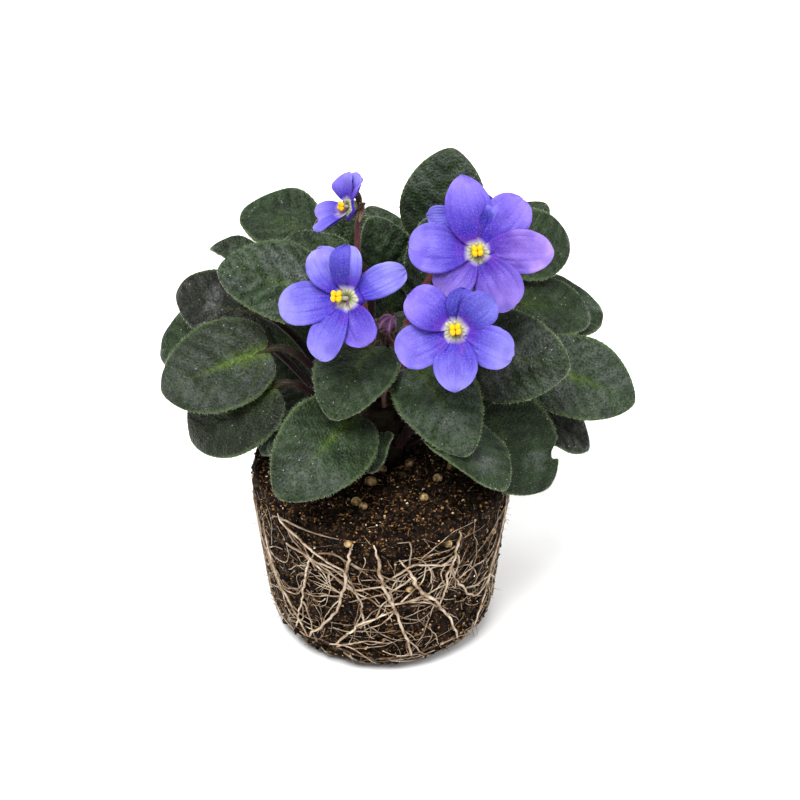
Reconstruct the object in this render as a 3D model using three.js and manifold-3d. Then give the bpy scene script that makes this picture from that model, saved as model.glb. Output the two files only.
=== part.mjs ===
// African violet lifted out of its nursery pot: a rosette of leaves with five blooms on a bare root ball.
// Millimetres, +Z up. The origin is the centre of the root ball's flat underside, and -Y is the front.

import * as THREE from 'three';
import { mergeVertices } from 'three/addons/utils/BufferGeometryUtils.js';
import Module from 'manifold-3d';

const wasm = await Module();
wasm.setup();

// Driving dimensions

const SOIL_SEED = 20260;
const ROOT_SEED = 411;
const GAP = 0.3;
const ROOT_GAP = 0.5;

const BALL = { topRadius: 38, bottomRadius: 32, height: 54, foot: 7.4, shoulder: 3.5, crownRise: 1.6, sides: 26 };
const SOIL_DENT = 0.7;
const HOLE = { radius: 7, depth: 7 };
const CROWN = { radius: 6.5, topRadius: 6.0, top: 74 };

const BLADE = { thickness: 0.7, riseToWidest: 0.45, fallToTip: 0.65, lobe: 0.07, fold: 1.0, wave: 0.5 };
const PETIOLE = { crownRadius: 1.4, bladeRadius: 1.2, foot: 1.6, ribEnd: 0.3, sides: 4, steps: 3 };
const PETAL = { thickness: 0.6, innerRadius: 1.3, clawPower: 0.65, tipPower: 0.42 };
const HUB = { radius: 2.0, back: -3.0, front: 0.3 };
const PEDICEL = { radius: 0.9, calyxRadius: 1.7, sides: 4, steps: 6 };

const COLOURS = {
  soil: 0x2b221b,
  root: 0xc2a98a,
  crown: 0x55482f,
  leaf: 0x3b473b,
  petal: 0x6f62cf,
  anther: 0xf2b615,
  stalk: 0x6a3b3c,
};

// Each leaf: the point where petiole meets blade, the tip, the blade's width, how far the blade
// rolls about its midrib (degrees), how high it arches, and where the petiole leaves the crown
// (degrees round it, height, and on its top the way out from the axis).
const LEAVES = {
  front_left: { base: [-7, -15, 79], tip: [-28, -40, 68], width: 26, roll: -33, arch: 3.7, socket: [-126, 62] },
  front_mid: { base: [-2, -2, 93], tip: [-13, -26, 84], width: 23, roll: -5, arch: 3.2, socket: [100, 74, 0.5] },
  front_right: { base: [10, -8, 90], tip: [24, -33, 77], width: 23, roll: 18, arch: 4, socket: [-40, 70] },
  low_mid: { base: [-1, -11, 68.5], tip: [-2, -23, 64.5], width: 13, roll: 31, arch: 1.5, socket: [-95, 59] },
  left_big: { base: [-32, 4, 88], tip: [-63, 4, 74], width: 26, roll: -50, arch: 2.4, socket: [171, 66] },
  left_low: { base: [-30, -1, 79], tip: [-55, 1, 59], width: 26.5, roll: -51, arch: 3.3, socket: [-175, 63] },
  left_up: { base: [-36.5, 24.5, 88], tip: [-61, 39, 86], width: 20, roll: -59, arch: 2, socket: [148, 63] },
  left_far: { base: [-49, 34, 75], tip: [-67, 40, 65], width: 20, roll: -35, arch: 2, socket: [160, 60] },
  left_small: { base: [-34, 31.5, 101], tip: [-50, 38, 102], width: 11, roll: -10, arch: 1.5, socket: [153, 68] },
  left_top: { base: [-16, 11.5, 101], tip: [-46, 13.5, 109], width: 25, roll: -32, arch: 1.8, socket: [139, 73] },
  back_left: { base: [-22, 46.5, 100.5], tip: [-41, 60.5, 103.5], width: 24, roll: -14, arch: 2.6, socket: [122, 69] },
  inner_left: { base: [-9.5, 24, 107], tip: [-28, 33, 107.5], width: 9, roll: -20, arch: 1.5, socket: [112, 72] },
  inner_back_left: { base: [-8, 35.5, 98.5], tip: [-17, 42.5, 111], width: 21, roll: -42, arch: 2, socket: [92, 69] },
  back_mid: { base: [1, 41, 91], tip: [-2, 60, 104], width: 22, roll: 30, arch: 2.6, socket: [91, 62] },
  centre: { base: [2.5, 28, 86], tip: [-3, 37, 113], width: 22, roll: 4, arch: 3.7, socket: [70, 72] },
  back_tall: { base: [17, 48, 98], tip: [20.5, 54, 126.5], width: 25.5, roll: 22, arch: 2.9, socket: [71, 66] },
  back_mid_right: { base: [14, 33, 89], tip: [13, 34, 114], width: 19, roll: -25, arch: 2.7, socket: [62, 69] },
  back_right: { base: [34, 30, 105], tip: [55, 43, 102], width: 21, roll: 52, arch: 2.5, socket: [38, 71] },
  back_right_far: { base: [34, 36, 98], tip: [48, 55, 108], width: 17, roll: 0, arch: 2, socket: [52, 64] },
  right_up: { base: [37, 21, 93], tip: [61, 30, 84], width: 22, roll: 27, arch: 1.5, socket: [30, 66] },
  right_up_far: { base: [43, 29, 84], tip: [65, 43, 79.5], width: 25, roll: 22, arch: 1.5, socket: [31, 60] },
  right_mid: { base: [27.5, 2.5, 88], tip: [52, -15, 94], width: 26, roll: 57, arch: 3.8, socket: [5, 70] },
  right_big: { base: [43, 7, 81], tip: [72, -2, 74], width: 25, roll: 37, arch: 3.1, socket: [9, 64] },
  right_low: { base: [41, 3, 67], tip: [60, 0, 57], width: 19, roll: 14, arch: 2.4, socket: [-8, 59] },
  front_right_low: { base: [26, -9, 76.5], tip: [48, -14, 53.5], width: 27, roll: 48, arch: 2.6, socket: [-25, 65] },
  front_right_under: { base: [14, -16.5, 78], tip: [34, -36.5, 68], width: 24, roll: -12, arch: 1.5, socket: [-56, 63] },
  left_hidden: { base: [-25, -4, 70], tip: [-34, -9, 61], width: 14, roll: 0, arch: 2, socket: [-160, 59] },
  rear_inner_left: { base: [-14, 14, 66], tip: [-40, 33, 57], width: 28, roll: -12, arch: 2, socket: [146, 57.6] },
  rear_left: { base: [-15, 24, 77.5], tip: [-44, 40, 67.5], width: 29, roll: -45, arch: 3, socket: [132, 60] },
  rear_mid_left: { base: [-10, 41, 85], tip: [-16, 68, 81], width: 24, roll: 0, arch: 3, socket: [107, 59] },
  rear_mid: { base: [6, 28, 74], tip: [5, 60, 68], width: 24, roll: 0, arch: 4, socket: [82, 58] },
  rear_right: { base: [24, 40, 84], tip: [36, 64, 78], width: 24, roll: 0, arch: 3, socket: [57, 60] },
};

// Each bloom: the centre of its throat, the way it faces, its size, how far its pollen sacs lean from
// the middle, the length of its straight neck, its petals as [degrees round from the right, length,
// width, lift in degrees, layer and, where it is not the usual one, the power of the tip], and the
// pedicel's way down.
const BLOOMS = {
  left: {
    centre: [-9, -15, 116], facing: [-0.25, -0.82, 0.52], size: 1, lean: [-2.2, 0], neck: 4,
    petals: [[132, 16, 10.5, 8, 0], [94, 14.9, 9, 18, 1], [36, 17, 8.8, -6, -1],
      [-58, 13.8, 10.5, 6, 0], [-108, 18.4, 10.3, 4, 1], [195, 20, 12, 5, -1, 0.5]],
    route: [[-7, -4, 110], [-6, 2, 100], [-5, 3, 88]], socket: [160, 74],
  },
  right: {
    centre: [26, -10, 127.5], facing: [0, -0.84, 0.54], size: 1, lean: [0, 0], neck: 4,
    petals: [[102, 21.4, 12.8, 10, 1, 0.65], [80, 13.1, 3.6, -8, -2], [49, 19, 12.8, 6, 0],
      [0, 20.8, 12, 4, -1, 0.55], [-59, 17.2, 12.9, 4, 0], [-131, 15.1, 11.2, 8, -1], [175, 18.4, 13.9, 6, 0]],
    route: [[24, 1, 120], [17, 7, 106], [9, 8, 92]], socket: [20, 74],
  },
  low: {
    centre: [20, -25, 112], facing: [0, -0.84, 0.54], size: 1, lean: [0, 0], neck: 4,
    petals: [[141, 15.8, 11.7, 6, 0], [75, 11.8, 8.8, 12, -1], [40, 13.4, 10.1, 10, 1],
      [-25, 16.9, 11.4, 4, 0], [-90, 16.5, 12, 5, 1, 0.6], [-157, 16.9, 12.2, 4, -1]],
    route: [[17, -13, 107], [11, -4, 99], [6, -2, 88]], socket: [-30, 74],
  },
  small: {
    centre: [-9, 13, 129], facing: [-0.8, -0.45, 0.2], size: 0.8, lean: [0, 0], neck: 1.6,
    petals: [[125, 9.5, 8.5, 4, 0], [104, 9.4, 8, -4, -1], [90, 8.6, 5.5, -12, 1],
      [231, 10.3, 8.2, 51, 0], [276, 12.6, 5.5, 57, 1]],
    route: [[-6.5, 15, 122], [-6.5, 14, 112], [-5, 10, 100], [-2, 7, 88]], socket: [110, 74],
  },
  hidden: {
    centre: [23, 8, 129], facing: [-0.2, -0.8, 0.55], size: 0.8, lean: [0, 0], neck: 3,
    petals: [[188, 10.8, 5.5, 10, 0], [36, 9.2, 6, 10, 1], [95, 8.8, 5, 12, 0],
      [-50, 9.5, 7, 10, -1], [-115, 9.5, 7, 10, 1]],
    route: [[21, 14, 122], [16, 15, 110], [8, 13, 94]], socket: [65, 74],
  },
};

// Each bud: the middle of the closed flower, the way it points, its size and its stalk's way down.
const BUDS = {
  purple: {
    centre: [2, -6, 103], facing: [0.3, -0.5, 0.8], radius: 2.7, length: 7,
    route: [[3, -2, 94], [3, -3, 86]], socket: [-80, 74],
  },
  green: {
    centre: [7, 3, 95], facing: [0.3, -0.3, 0.9], radius: 1.6, length: 4.5,
    route: [[6, 2, 86]], socket: [-5, 74],
  },
};

// Slow-release feed grains lying on the soil: place and radius.
const GRAINS = [[-3, -15, 1.8], [0, -9, 1.6], [8, -6, 1.4], [16, -13, 1.5], [-7, -24, 1.5], [-5, -26, 1.3],
  [20, -7, 1.3], [12, -22, 1.4], [-21, 9, 1.5], [8, 22, 1.6], [-10, 25, 1.4], [24, 12, 1.5]];

// Roots on the front of the ball, as [degrees round it, height] stations, with the width they start at.
const FRONT_ROOTS = [
  { width: 1.6, way: [[-102, 50], [-105, 41], [-109, 29], [-118, 18], [-129, 9]] },
  { width: 1.7, way: [[-93, 50], [-90, 40], [-86, 31], [-81, 21], [-75, 7]] },
  { width: 1.7, way: [[-82, 44], [-74, 35], [-67, 29], [-61, 24], [-49, 8]] },
  { width: 1.5, way: [[-54, 50], [-55, 43], [-57, 36], [-62, 24]] },
  { width: 1.3, way: [[-141, 51], [-132, 48], [-121, 43], [-106, 39]] },
  { width: 1.3, way: [[-121, 43], [-130, 26], [-138, 9]] },
  { width: 1.3, way: [[-116, 8], [-101, 19], [-83, 26]] },
  { width: 1.2, way: [[-88, 36], [-77, 42], [-66, 40], [-56, 38]] },
  { width: 1.3, way: [[-159, 46], [-150, 26], [-141, 18], [-130, 8]] },
  { width: 1.4, way: [[-14, 50], [-24, 30], [-29, 16], [-36, 7]] },
  { width: 1.2, way: [[-57, 36], [-48, 27], [-36, 20], [-26, 22]] },
  { width: 1.1, way: [[-107, 36], [-101, 28], [-100, 18]] },
];
const SIDE_ROOTS = { count: 10, from: 2, to: 200, width: 1.4, top: 49, foot: 7, lean: 22 };
const CROSS_ROOTS = { count: 8, width: 1.1, lowest: 13, highest: 43, reach: 34, rise: 11 };
const RING_ROOT = { height: 7, sway: 1.2, width: 1.4, steps: 20 };

// Seeded random numbers, the same sequence on every run

function seeded(seed) {
  let state = seed;
  return () => {
    state = (state * 1664525 + 1013904223) % 4294967296;
    return state / 4294967296;
  };
}

// Closed meshes

// Merges the vertices of a geometry, drops its flat triangles and returns it as a solid that faces out.
function toSolid(geometry) {
  const bare = geometry.clone();
  bare.deleteAttribute('normal');
  bare.deleteAttribute('uv');
  const merged = mergeVertices(bare, 1e-4);
  const index = Array.from(merged.index.array);
  const kept = [];
  for (let i = 0; i < index.length; i += 3) {
    const [a, b, c] = index.slice(i, i + 3);
    if (a !== b && b !== c && c !== a) kept.push(a, b, c);
  }
  const position = merged.attributes.position;
  const p = [new THREE.Vector3(), new THREE.Vector3(), new THREE.Vector3()];
  let volume = 0;
  for (let i = 0; i < kept.length; i += 3) {
    p.forEach((corner, k) => corner.fromBufferAttribute(position, kept[i + k]));
    volume += p[0].dot(p[1].cross(p[2])) / 6;
  }
  if (volume < 0) kept.reverse();
  return new wasm.Manifold(new wasm.Mesh({
    numProp: 3,
    vertProperties: new Float32Array(position.array),
    triVerts: new Uint32Array(kept),
  }));
}

function fuse(solids) {
  return solids.reduce((whole, solid) => whole.add(solid));
}

// Keeps the largest body of a union, so that no loose scrap goes with it.
function largestBody(solid) {
  const bodies = solid.decompose();
  return bodies.reduce((best, body) => (body.volume() > best.volume() ? body : best));
}

function toGeometry(solid) {
  const mesh = solid.getMesh();
  const geometry = new THREE.BufferGeometry();
  geometry.setAttribute('position', new THREE.BufferAttribute(new Float32Array(mesh.vertProperties), 3));
  geometry.setIndex(new THREE.BufferAttribute(new Uint32Array(mesh.triVerts), 1));
  geometry.computeVertexNormals();
  return geometry;
}

// A curved sheet of even thickness. rows holds the points of its middle surface; the first and the
// last row are single points. Both faces are split into triangles alike.
function sheet(rows, thickness) {
  const points = [];
  const rowStart = [];
  for (const row of rows) {
    rowStart.push(points.length);
    points.push(...row);
  }
  const columns = rows[1].length;
  const at = (i, j) => rowStart[i] + (rows[i].length === 1 ? 0 : j);
  const triangles = [];
  for (let i = 0; i < rows.length - 1; i += 1) {
    for (let j = 0; j < columns - 1; j += 1) {
      const corners = [at(i, j), at(i + 1, j), at(i + 1, j + 1), at(i, j + 1)];
      if (corners[1] !== corners[2]) triangles.push([corners[0], corners[1], corners[2]]);
      if (corners[0] !== corners[3]) triangles.push([corners[0], corners[2], corners[3]]);
    }
  }
  const normals = points.map(() => new THREE.Vector3());
  for (const [a, b, c] of triangles) {
    const side = points[b].clone().sub(points[a]);
    const normal = side.cross(points[c].clone().sub(points[a]));
    [a, b, c].forEach((k) => normals[k].add(normal));
  }
  normals.forEach((normal) => normal.setLength(thickness / 2));
  const positions = [];
  points.forEach((point, k) => positions.push(...point.clone().add(normals[k]).toArray()));
  points.forEach((point, k) => positions.push(...point.clone().sub(normals[k]).toArray()));
  const under = points.length;
  const index = [];
  for (const [a, b, c] of triangles) {
    index.push(a, b, c);
    index.push(a + under, c + under, b + under);
  }
  for (let i = 0; i < rows.length - 1; i += 1) {
    const [p, q] = [at(i, 0), at(i + 1, 0)];
    index.push(p, p + under, q, q, p + under, q + under);
    const [r, s] = [at(i, columns - 1), at(i + 1, columns - 1)];
    index.push(r, s, r + under, s, s + under, r + under);
  }
  const geometry = new THREE.BufferGeometry();
  geometry.setAttribute('position', new THREE.Float32BufferAttribute(positions, 3));
  geometry.setIndex(index);
  return geometry;
}

// A closed tube through stations { point, radius }.
function tube(stations, sides) {
  const positions = [];
  const side = new THREE.Vector3();
  const tangents = stations.map((_, i) => {
    const before = stations[Math.max(i - 1, 0)].point;
    const after = stations[Math.min(i + 1, stations.length - 1)].point;
    return after.clone().sub(before).normalize();
  });
  const start = Math.abs(tangents[0].z) < 0.9 ? new THREE.Vector3(0, 0, 1) : new THREE.Vector3(0, 1, 0);
  side.crossVectors(start, tangents[0]).normalize();
  stations.forEach(({ point, radius }, i) => {
    side.addScaledVector(tangents[i], -side.dot(tangents[i])).normalize();
    const other = new THREE.Vector3().crossVectors(tangents[i], side);
    for (let k = 0; k < sides; k += 1) {
      const angle = (2 * Math.PI * k) / sides;
      const corner = point.clone();
      corner.addScaledVector(side, radius * Math.cos(angle));
      corner.addScaledVector(other, radius * Math.sin(angle));
      positions.push(...corner.toArray());
    }
  });
  const index = [];
  for (let i = 0; i < stations.length - 1; i += 1) {
    for (let k = 0; k < sides; k += 1) {
      const a = i * sides + k;
      const b = i * sides + ((k + 1) % sides);
      index.push(a, b, a + sides, b, b + sides, a + sides);
    }
  }
  const last = (stations.length - 1) * sides;
  for (let k = 1; k < sides - 1; k += 1) {
    index.push(0, k + 1, k);
    index.push(last, last + k, last + k + 1);
  }
  const geometry = new THREE.BufferGeometry();
  geometry.setAttribute('position', new THREE.Float32BufferAttribute(positions, 3));
  geometry.setIndex(index);
  return geometry;
}

// Places on the root ball and the crown

const radians = THREE.MathUtils.degToRad;

function ballRadius(z) {
  const { topRadius, bottomRadius, height, foot } = BALL;
  const wall = bottomRadius + ((topRadius - bottomRadius) * z) / height;
  if (z >= foot) return wall;
  return wall - foot + Math.sqrt(foot ** 2 - (foot - z) ** 2);
}

function around(degrees, radius, z) {
  return new THREE.Vector3(radius * Math.cos(radians(degrees)), radius * Math.sin(radians(degrees)), z);
}

function crownRadius(z) {
  const up = THREE.MathUtils.clamp((z - BALL.height) / (CROWN.top - BALL.height), 0, 1);
  return THREE.MathUtils.lerp(CROWN.radius, CROWN.topRadius, up);
}

// A stalk's first point, beside the crown or standing on its top, where out is its way from the axis.
function socketPoint([degrees, z, out = CROWN.topRadius - 1.3]) {
  if (z < CROWN.top) return around(degrees, crownRadius(z) + GAP, z);
  return around(degrees, out, CROWN.top + GAP);
}

// Soil

function soilSolid() {
  const { topRadius, height, foot, shoulder, crownRise, sides } = BALL;
  const profile = [new THREE.Vector2(0, 0)];
  for (const z of [0, 1.2, 3.6, foot, 22, 37, height - shoulder]) {
    profile.push(new THREE.Vector2(ballRadius(z), z));
  }
  profile.push(new THREE.Vector2(topRadius - 1.2, height - 0.8));
  profile.push(new THREE.Vector2(topRadius - shoulder, height));
  profile.push(new THREE.Vector2(topRadius * 0.62, height + crownRise * 0.6));
  profile.push(new THREE.Vector2(HOLE.radius, height + crownRise));
  profile.push(new THREE.Vector2(HOLE.radius, height - HOLE.depth));
  profile.push(new THREE.Vector2(0, height - HOLE.depth));
  const random = seeded(SOIL_SEED);
  const lathe = new THREE.LatheGeometry(profile, sides).rotateX(Math.PI / 2);
  lathe.deleteAttribute('normal');
  lathe.deleteAttribute('uv');
  const ball = mergeVertices(lathe, 1e-4);
  const position = ball.attributes.position;
  for (let i = 0; i < position.count; i += 1) {
    const vertex = new THREE.Vector3().fromBufferAttribute(position, i);
    const flatRadius = Math.hypot(vertex.x, vertex.y);
    const dent = SOIL_DENT * random();
    if (vertex.z < 0.5 || flatRadius < HOLE.radius + 1) continue;
    const shrink = 1 - dent / flatRadius;
    position.setXYZ(i, vertex.x * shrink, vertex.y * shrink, vertex.z - dent * (vertex.z > height - 1 ? 1 : 0));
  }
  const parts = [toSolid(ball)];
  for (const [x, y, radius] of GRAINS) {
    const z = height + crownRise * (1 - Math.hypot(x, y) / topRadius);
    parts.push(toSolid(new THREE.IcosahedronGeometry(radius, 0).translate(x, y, z + radius * 0.2)));
  }
  return fuse(parts);
}

// Roots

function rootTube(way, width, steps) {
  const flat = way.map(([degrees, z]) => new THREE.Vector3(degrees, z, 0));
  const curve = new THREE.CatmullRomCurve3(flat);
  const stations = [];
  for (let i = 0; i <= steps; i += 1) {
    const { x: degrees, y: z } = curve.getPoint(i / steps);
    const radius = (width / 2) * (1 - (0.35 * i) / steps);
    stations.push({ point: around(degrees, ballRadius(z) + ROOT_GAP + radius, z), radius });
  }
  return toSolid(tube(stations, 4));
}

function ringRoot() {
  const { height, sway, width, steps } = RING_ROOT;
  const stations = [];
  for (let i = 0; i <= steps; i += 1) {
    const degrees = (370 * i) / steps;
    const waves = Math.sin(radians(degrees * 5)) + Math.sin(radians(degrees * 2 + 60));
    const z = height + sway * waves + (i / steps) * sway;
    stations.push({ point: around(degrees, ballRadius(z) + ROOT_GAP + width / 2, z), radius: width / 2 });
  }
  return toSolid(tube(stations, 4));
}

function rootNetSolid() {
  const random = seeded(ROOT_SEED);
  const spread = (size) => (random() * 2 - 1) * size;
  const roots = [ringRoot()];
  for (const { width, way } of FRONT_ROOTS) {
    roots.push(rootTube(way, width, 5));
  }
  const { count, from, to, width, top, foot, lean } = SIDE_ROOTS;
  for (let i = 0; i < count; i += 1) {
    const degrees = from + ((to - from) * i) / count + spread(4);
    const drift = spread(lean);
    const start = [degrees, top - random() * 8];
    const middle = [degrees + drift * 0.4 + spread(5), (top + foot) / 2 + spread(5)];
    roots.push(rootTube([start, middle, [degrees + drift, foot]], width * (0.8 + 0.4 * random()), 5));
  }
  const cross = CROSS_ROOTS;
  for (let i = 0; i < cross.count; i += 1) {
    const degrees = (360 * i) / cross.count + spread(6);
    const z = THREE.MathUtils.lerp(cross.lowest, cross.highest, random());
    const rise = spread(cross.rise);
    const end = THREE.MathUtils.clamp(z + rise, 8, 49);
    const middle = [degrees + cross.reach / 2, (z + end) / 2 + spread(3)];
    roots.push(rootTube([[degrees, z], middle, [degrees + cross.reach, end]], cross.width, 4));
  }
  return largestBody(fuse(roots));
}

// Crown

function crownSolid() {
  const profile = [
    new THREE.Vector2(0, BALL.height - HOLE.depth + GAP),
    new THREE.Vector2(CROWN.radius, BALL.height - HOLE.depth + GAP),
    new THREE.Vector2(CROWN.radius, BALL.height),
    new THREE.Vector2(CROWN.topRadius, CROWN.top),
    new THREE.Vector2(0, CROWN.top),
  ];
  return toSolid(new THREE.LatheGeometry(profile, 16).rotateX(Math.PI / 2));
}

// Leaves

// Half width of a blade, as a share of its greatest, at u from the petiole (0) to the tip (1).
function bladeOutline(u) {
  const { riseToWidest: a, fallToTip: b } = BLADE;
  const widest = a / (a + b);
  return (u ** a * (1 - u) ** b) / (widest ** a * (1 - widest) ** b);
}

// The frame of a blade: along its midrib, across it and up from it.
function bladeFrame({ base, tip, roll }) {
  const origin = new THREE.Vector3(...base);
  const along = new THREE.Vector3(...tip).sub(origin);
  const length = along.length();
  along.normalize();
  const level = new THREE.Vector3(0, 0, 1).cross(along).normalize();
  const up = along.clone().cross(level);
  const across = level.multiplyScalar(Math.cos(radians(roll))).addScaledVector(up, Math.sin(radians(roll)));
  return { origin, along, across, up: along.clone().cross(across), length };
}

// A point of the blade's middle surface; v runs from -1 at one margin to 1 at the other.
function bladePoint(leaf, frame, u, v) {
  const half = bladeOutline(u);
  const back = BLADE.lobe * v * v * Math.min(half / 0.6, 1) * (1 - u) ** 3;
  const rise = leaf.arch * 4 * u * (1 - u);
  const trough = BLADE.fold * Math.abs(v) * Math.sin(Math.PI * u);
  const wave = BLADE.wave * v * v * Math.sin(Math.PI * u) * Math.sin(9 * u + 2.5 * v + leaf.width);
  return frame.origin.clone()
    .addScaledVector(frame.along, (u - back) * frame.length)
    .addScaledVector(frame.across, (v * half * leaf.width) / 2)
    .addScaledVector(frame.up, rise + trough + wave);
}

function bladeSolid(leaf, frame) {
  const inner = [0.05, 0.2, 0.44, 0.7, 0.92];
  const across = [-1, -0.55, 0, 0.55, 1];
  const rows = [[bladePoint(leaf, frame, 0, 0)]];
  for (const u of inner) {
    rows.push(across.map((v) => bladePoint(leaf, frame, u, v)));
  }
  rows.push([bladePoint(leaf, frame, 1, 0)]);
  return toSolid(sheet(rows, BLADE.thickness));
}

// The petiole leaves the crown level, climbs, comes in along the midrib and runs on under it as a
// tapering rib.
function petioleSolid(leaf, frame) {
  const { crownRadius: thick, bladeRadius: thin, foot, ribEnd, sides, steps } = PETIOLE;
  const onTop = leaf.socket[1] >= CROWN.top;
  const seat = socketPoint(leaf.socket);
  const start = seat.clone().add(onTop ? new THREE.Vector3(0, 0, foot) : around(leaf.socket[0], foot, 0));
  const end = frame.origin.clone().addScaledVector(frame.up, -0.4);
  const reach = start.distanceTo(end);
  const outward = onTop ? new THREE.Vector3(0, 0, 1) : around(leaf.socket[0], 1, 0.9).normalize();
  const leave = start.clone().addScaledVector(outward, reach * 0.35);
  const arrive = end.clone().addScaledVector(frame.along, -reach * 0.35);
  const curve = new THREE.CubicBezierCurve3(start, leave, arrive, end);
  const stations = [{ point: seat, radius: thick }];
  for (let i = 0; i <= steps; i += 1) {
    stations.push({ point: curve.getPoint(i / steps), radius: THREE.MathUtils.lerp(thick, thin, i / steps) });
  }
  const under = (u, depth) => bladePoint(leaf, frame, u, 0).addScaledVector(frame.up, -depth);
  stations.push({ point: under(0.12, 0.6), radius: 0.95 });
  stations.push({ point: under(ribEnd, 0.35), radius: 0.5 });
  return toSolid(tube(stations, sides));
}

function leafSolid(leaf) {
  const frame = bladeFrame(leaf);
  return largestBody(fuse([bladeSolid(leaf, frame), petioleSolid(leaf, frame)]));
}

// Blooms

// The frame of a bloom: right, up in its own plane, and out of its face.
function bloomFrame({ centre, facing }) {
  const out = new THREE.Vector3(...facing).normalize();
  const right = new THREE.Vector3(0, 0, 1).cross(out).normalize();
  return { origin: new THREE.Vector3(...centre), right, up: out.clone().cross(right), out };
}

function bloomPoint(frame, x, y, h) {
  return frame.origin.clone()
    .addScaledVector(frame.right, x)
    .addScaledVector(frame.up, y)
    .addScaledVector(frame.out, h);
}

// Half width of a petal, as a share of its greatest, at u from the throat (0) to the tip (1), where
// a greater power b makes the tip more pointed.
function petalOutline(u, b) {
  const a = PETAL.clawPower;
  const widest = a / (a + b);
  return (u ** a * (1 - u) ** b) / (widest ** a * (1 - widest) ** b);
}

function petalPoint(frame, [degrees, length, width, lift, layer, tip = PETAL.tipPower], u, v) {
  const run = PETAL.innerRadius + (length * Math.cos(radians(lift)) - PETAL.innerRadius) * u;
  const half = (petalOutline(u, tip) * width) / 2;
  const dome = length * (Math.sin(radians(lift)) * u + 0.10 * Math.sin(Math.PI * u) * u - 0.16 * u ** 3);
  const cup = 0.10 * half * v * v;
  const shingle = 0.13 * half * v;
  const side = radians(degrees);
  const across = v * half;
  const x = run * Math.cos(side) - across * Math.sin(side);
  const y = run * Math.sin(side) + across * Math.cos(side);
  return bloomPoint(frame, x, y, dome + cup + shingle + layer * 0.5 * Math.min(1, u * 3));
}

function petalSolid(frame, petal) {
  const inner = [0.15, 0.42, 0.72, 0.93];
  const across = [-1, -0.4, 0.4, 1];
  const rows = [[petalPoint(frame, petal, 0, 0)]];
  for (const u of inner) {
    rows.push(across.map((v) => petalPoint(frame, petal, u, v)));
  }
  rows.push([petalPoint(frame, petal, 1, 0)]);
  return toSolid(sheet(rows, PETAL.thickness));
}

function corollaSolid(bloom) {
  const frame = bloomFrame(bloom);
  const hub = tube([
    { point: bloomPoint(frame, 0, 0, HUB.back * bloom.size), radius: HUB.radius * bloom.size * 0.7 },
    { point: bloomPoint(frame, 0, 0, HUB.front), radius: HUB.radius * bloom.size },
  ], 6);
  const petals = bloom.petals.map((petal) => petalSolid(frame, petal));
  return largestBody(fuse([toSolid(hub), ...petals]));
}

// Two pairs of pollen sacs on a short stub.
function antherSolid(bloom) {
  const frame = bloomFrame(bloom);
  const { size, lean: [leanX, leanY] } = bloom;
  const stub = tube([
    { point: bloomPoint(frame, 0, 0, HUB.front + GAP), radius: 0.7 * size },
    { point: bloomPoint(frame, 0, 0, HUB.front + GAP + 0.6 * size), radius: 0.65 * size },
    { point: bloomPoint(frame, leanX, leanY, HUB.front + GAP + 2 * size), radius: 0.6 * size },
  ], 4);
  const parts = [toSolid(stub)];
  for (const [x, y] of [[-0.9, -0.5], [0.5, -0.9], [-0.5, 0.8], [0.9, 0.5]]) {
    const sac = new THREE.OctahedronGeometry(size, 0).scale(1.1, 1.1, 1.35);
    const place = bloomPoint(frame, leanX + x * size, leanY + y * size, HUB.front + GAP + 2.2 * size);
    parts.push(toSolid(sac.translate(place.x, place.y, place.z)));
  }
  return fuse(parts);
}

// Points of a stalk from the crown up through its route to the given end.
function stalkStations(socket, route, end, radius, steps) {
  const start = socketPoint(socket);
  const lift = start.clone().setZ(start.z + 4);
  const way = [start, lift, ...route.slice().reverse().map((point) => new THREE.Vector3(...point)), ...end];
  const curve = new THREE.CatmullRomCurve3(way, false, 'centripetal');
  const stations = [];
  for (let i = 0; i <= steps; i += 1) {
    stations.push({ point: curve.getPoint(i / steps), radius });
  }
  return stations;
}

function pedicelSolid(bloom) {
  const frame = bloomFrame(bloom);
  const seat = HUB.back * bloom.size - GAP;
  const end = [bloomPoint(frame, 0, 0, seat - bloom.neck), bloomPoint(frame, 0, 0, seat - 1)];
  const stations = stalkStations(bloom.socket, bloom.route, end, PEDICEL.radius, PEDICEL.steps);
  stations.push({ point: bloomPoint(frame, 0, 0, seat), radius: PEDICEL.calyxRadius });
  const parts = [toSolid(tube(stations, PEDICEL.sides))];
  for (let i = 0; i < 5; i += 1) {
    const side = radians(72 * i + 36);
    const sepal = tube([
      { point: bloomPoint(frame, 0.8 * Math.cos(side), 0.8 * Math.sin(side), seat - 1.3), radius: 0.9 },
      { point: bloomPoint(frame, 5 * Math.cos(side), 5 * Math.sin(side), seat + 0.7), radius: 0.3 },
    ], 3);
    parts.push(toSolid(sepal));
  }
  return largestBody(fuse(parts));
}

function budSolid(bud) {
  const frame = bloomFrame(bud);
  const end = [bloomPoint(frame, 0, 0, -bud.length * 0.7), bloomPoint(frame, 0, 0, -bud.length * 0.4)];
  const stalk = tube(stalkStations(bud.socket, bud.route, end, PEDICEL.radius * 0.8, 6), 5);
  const closed = tube([
    { point: bloomPoint(frame, 0, 0, -bud.length * 0.5), radius: bud.radius * 0.45 },
    { point: bloomPoint(frame, 0, 0, -bud.length * 0.2), radius: bud.radius },
    { point: bloomPoint(frame, 0, 0, bud.length * 0.2), radius: bud.radius * 0.8 },
    { point: bloomPoint(frame, 0, 0, bud.length * 0.5), radius: bud.radius * 0.25 },
  ], 8);
  return fuse([toSolid(stalk), toSolid(closed)]);
}

// Assembly

const violet = new THREE.Group();

function addPiece(name, solid, colour, roughness) {
  const material = new THREE.MeshStandardMaterial({ color: colour, roughness, metalness: 0 });
  const mesh = new THREE.Mesh(toGeometry(solid), material);
  mesh.name = name;
  violet.add(mesh);
}

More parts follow.
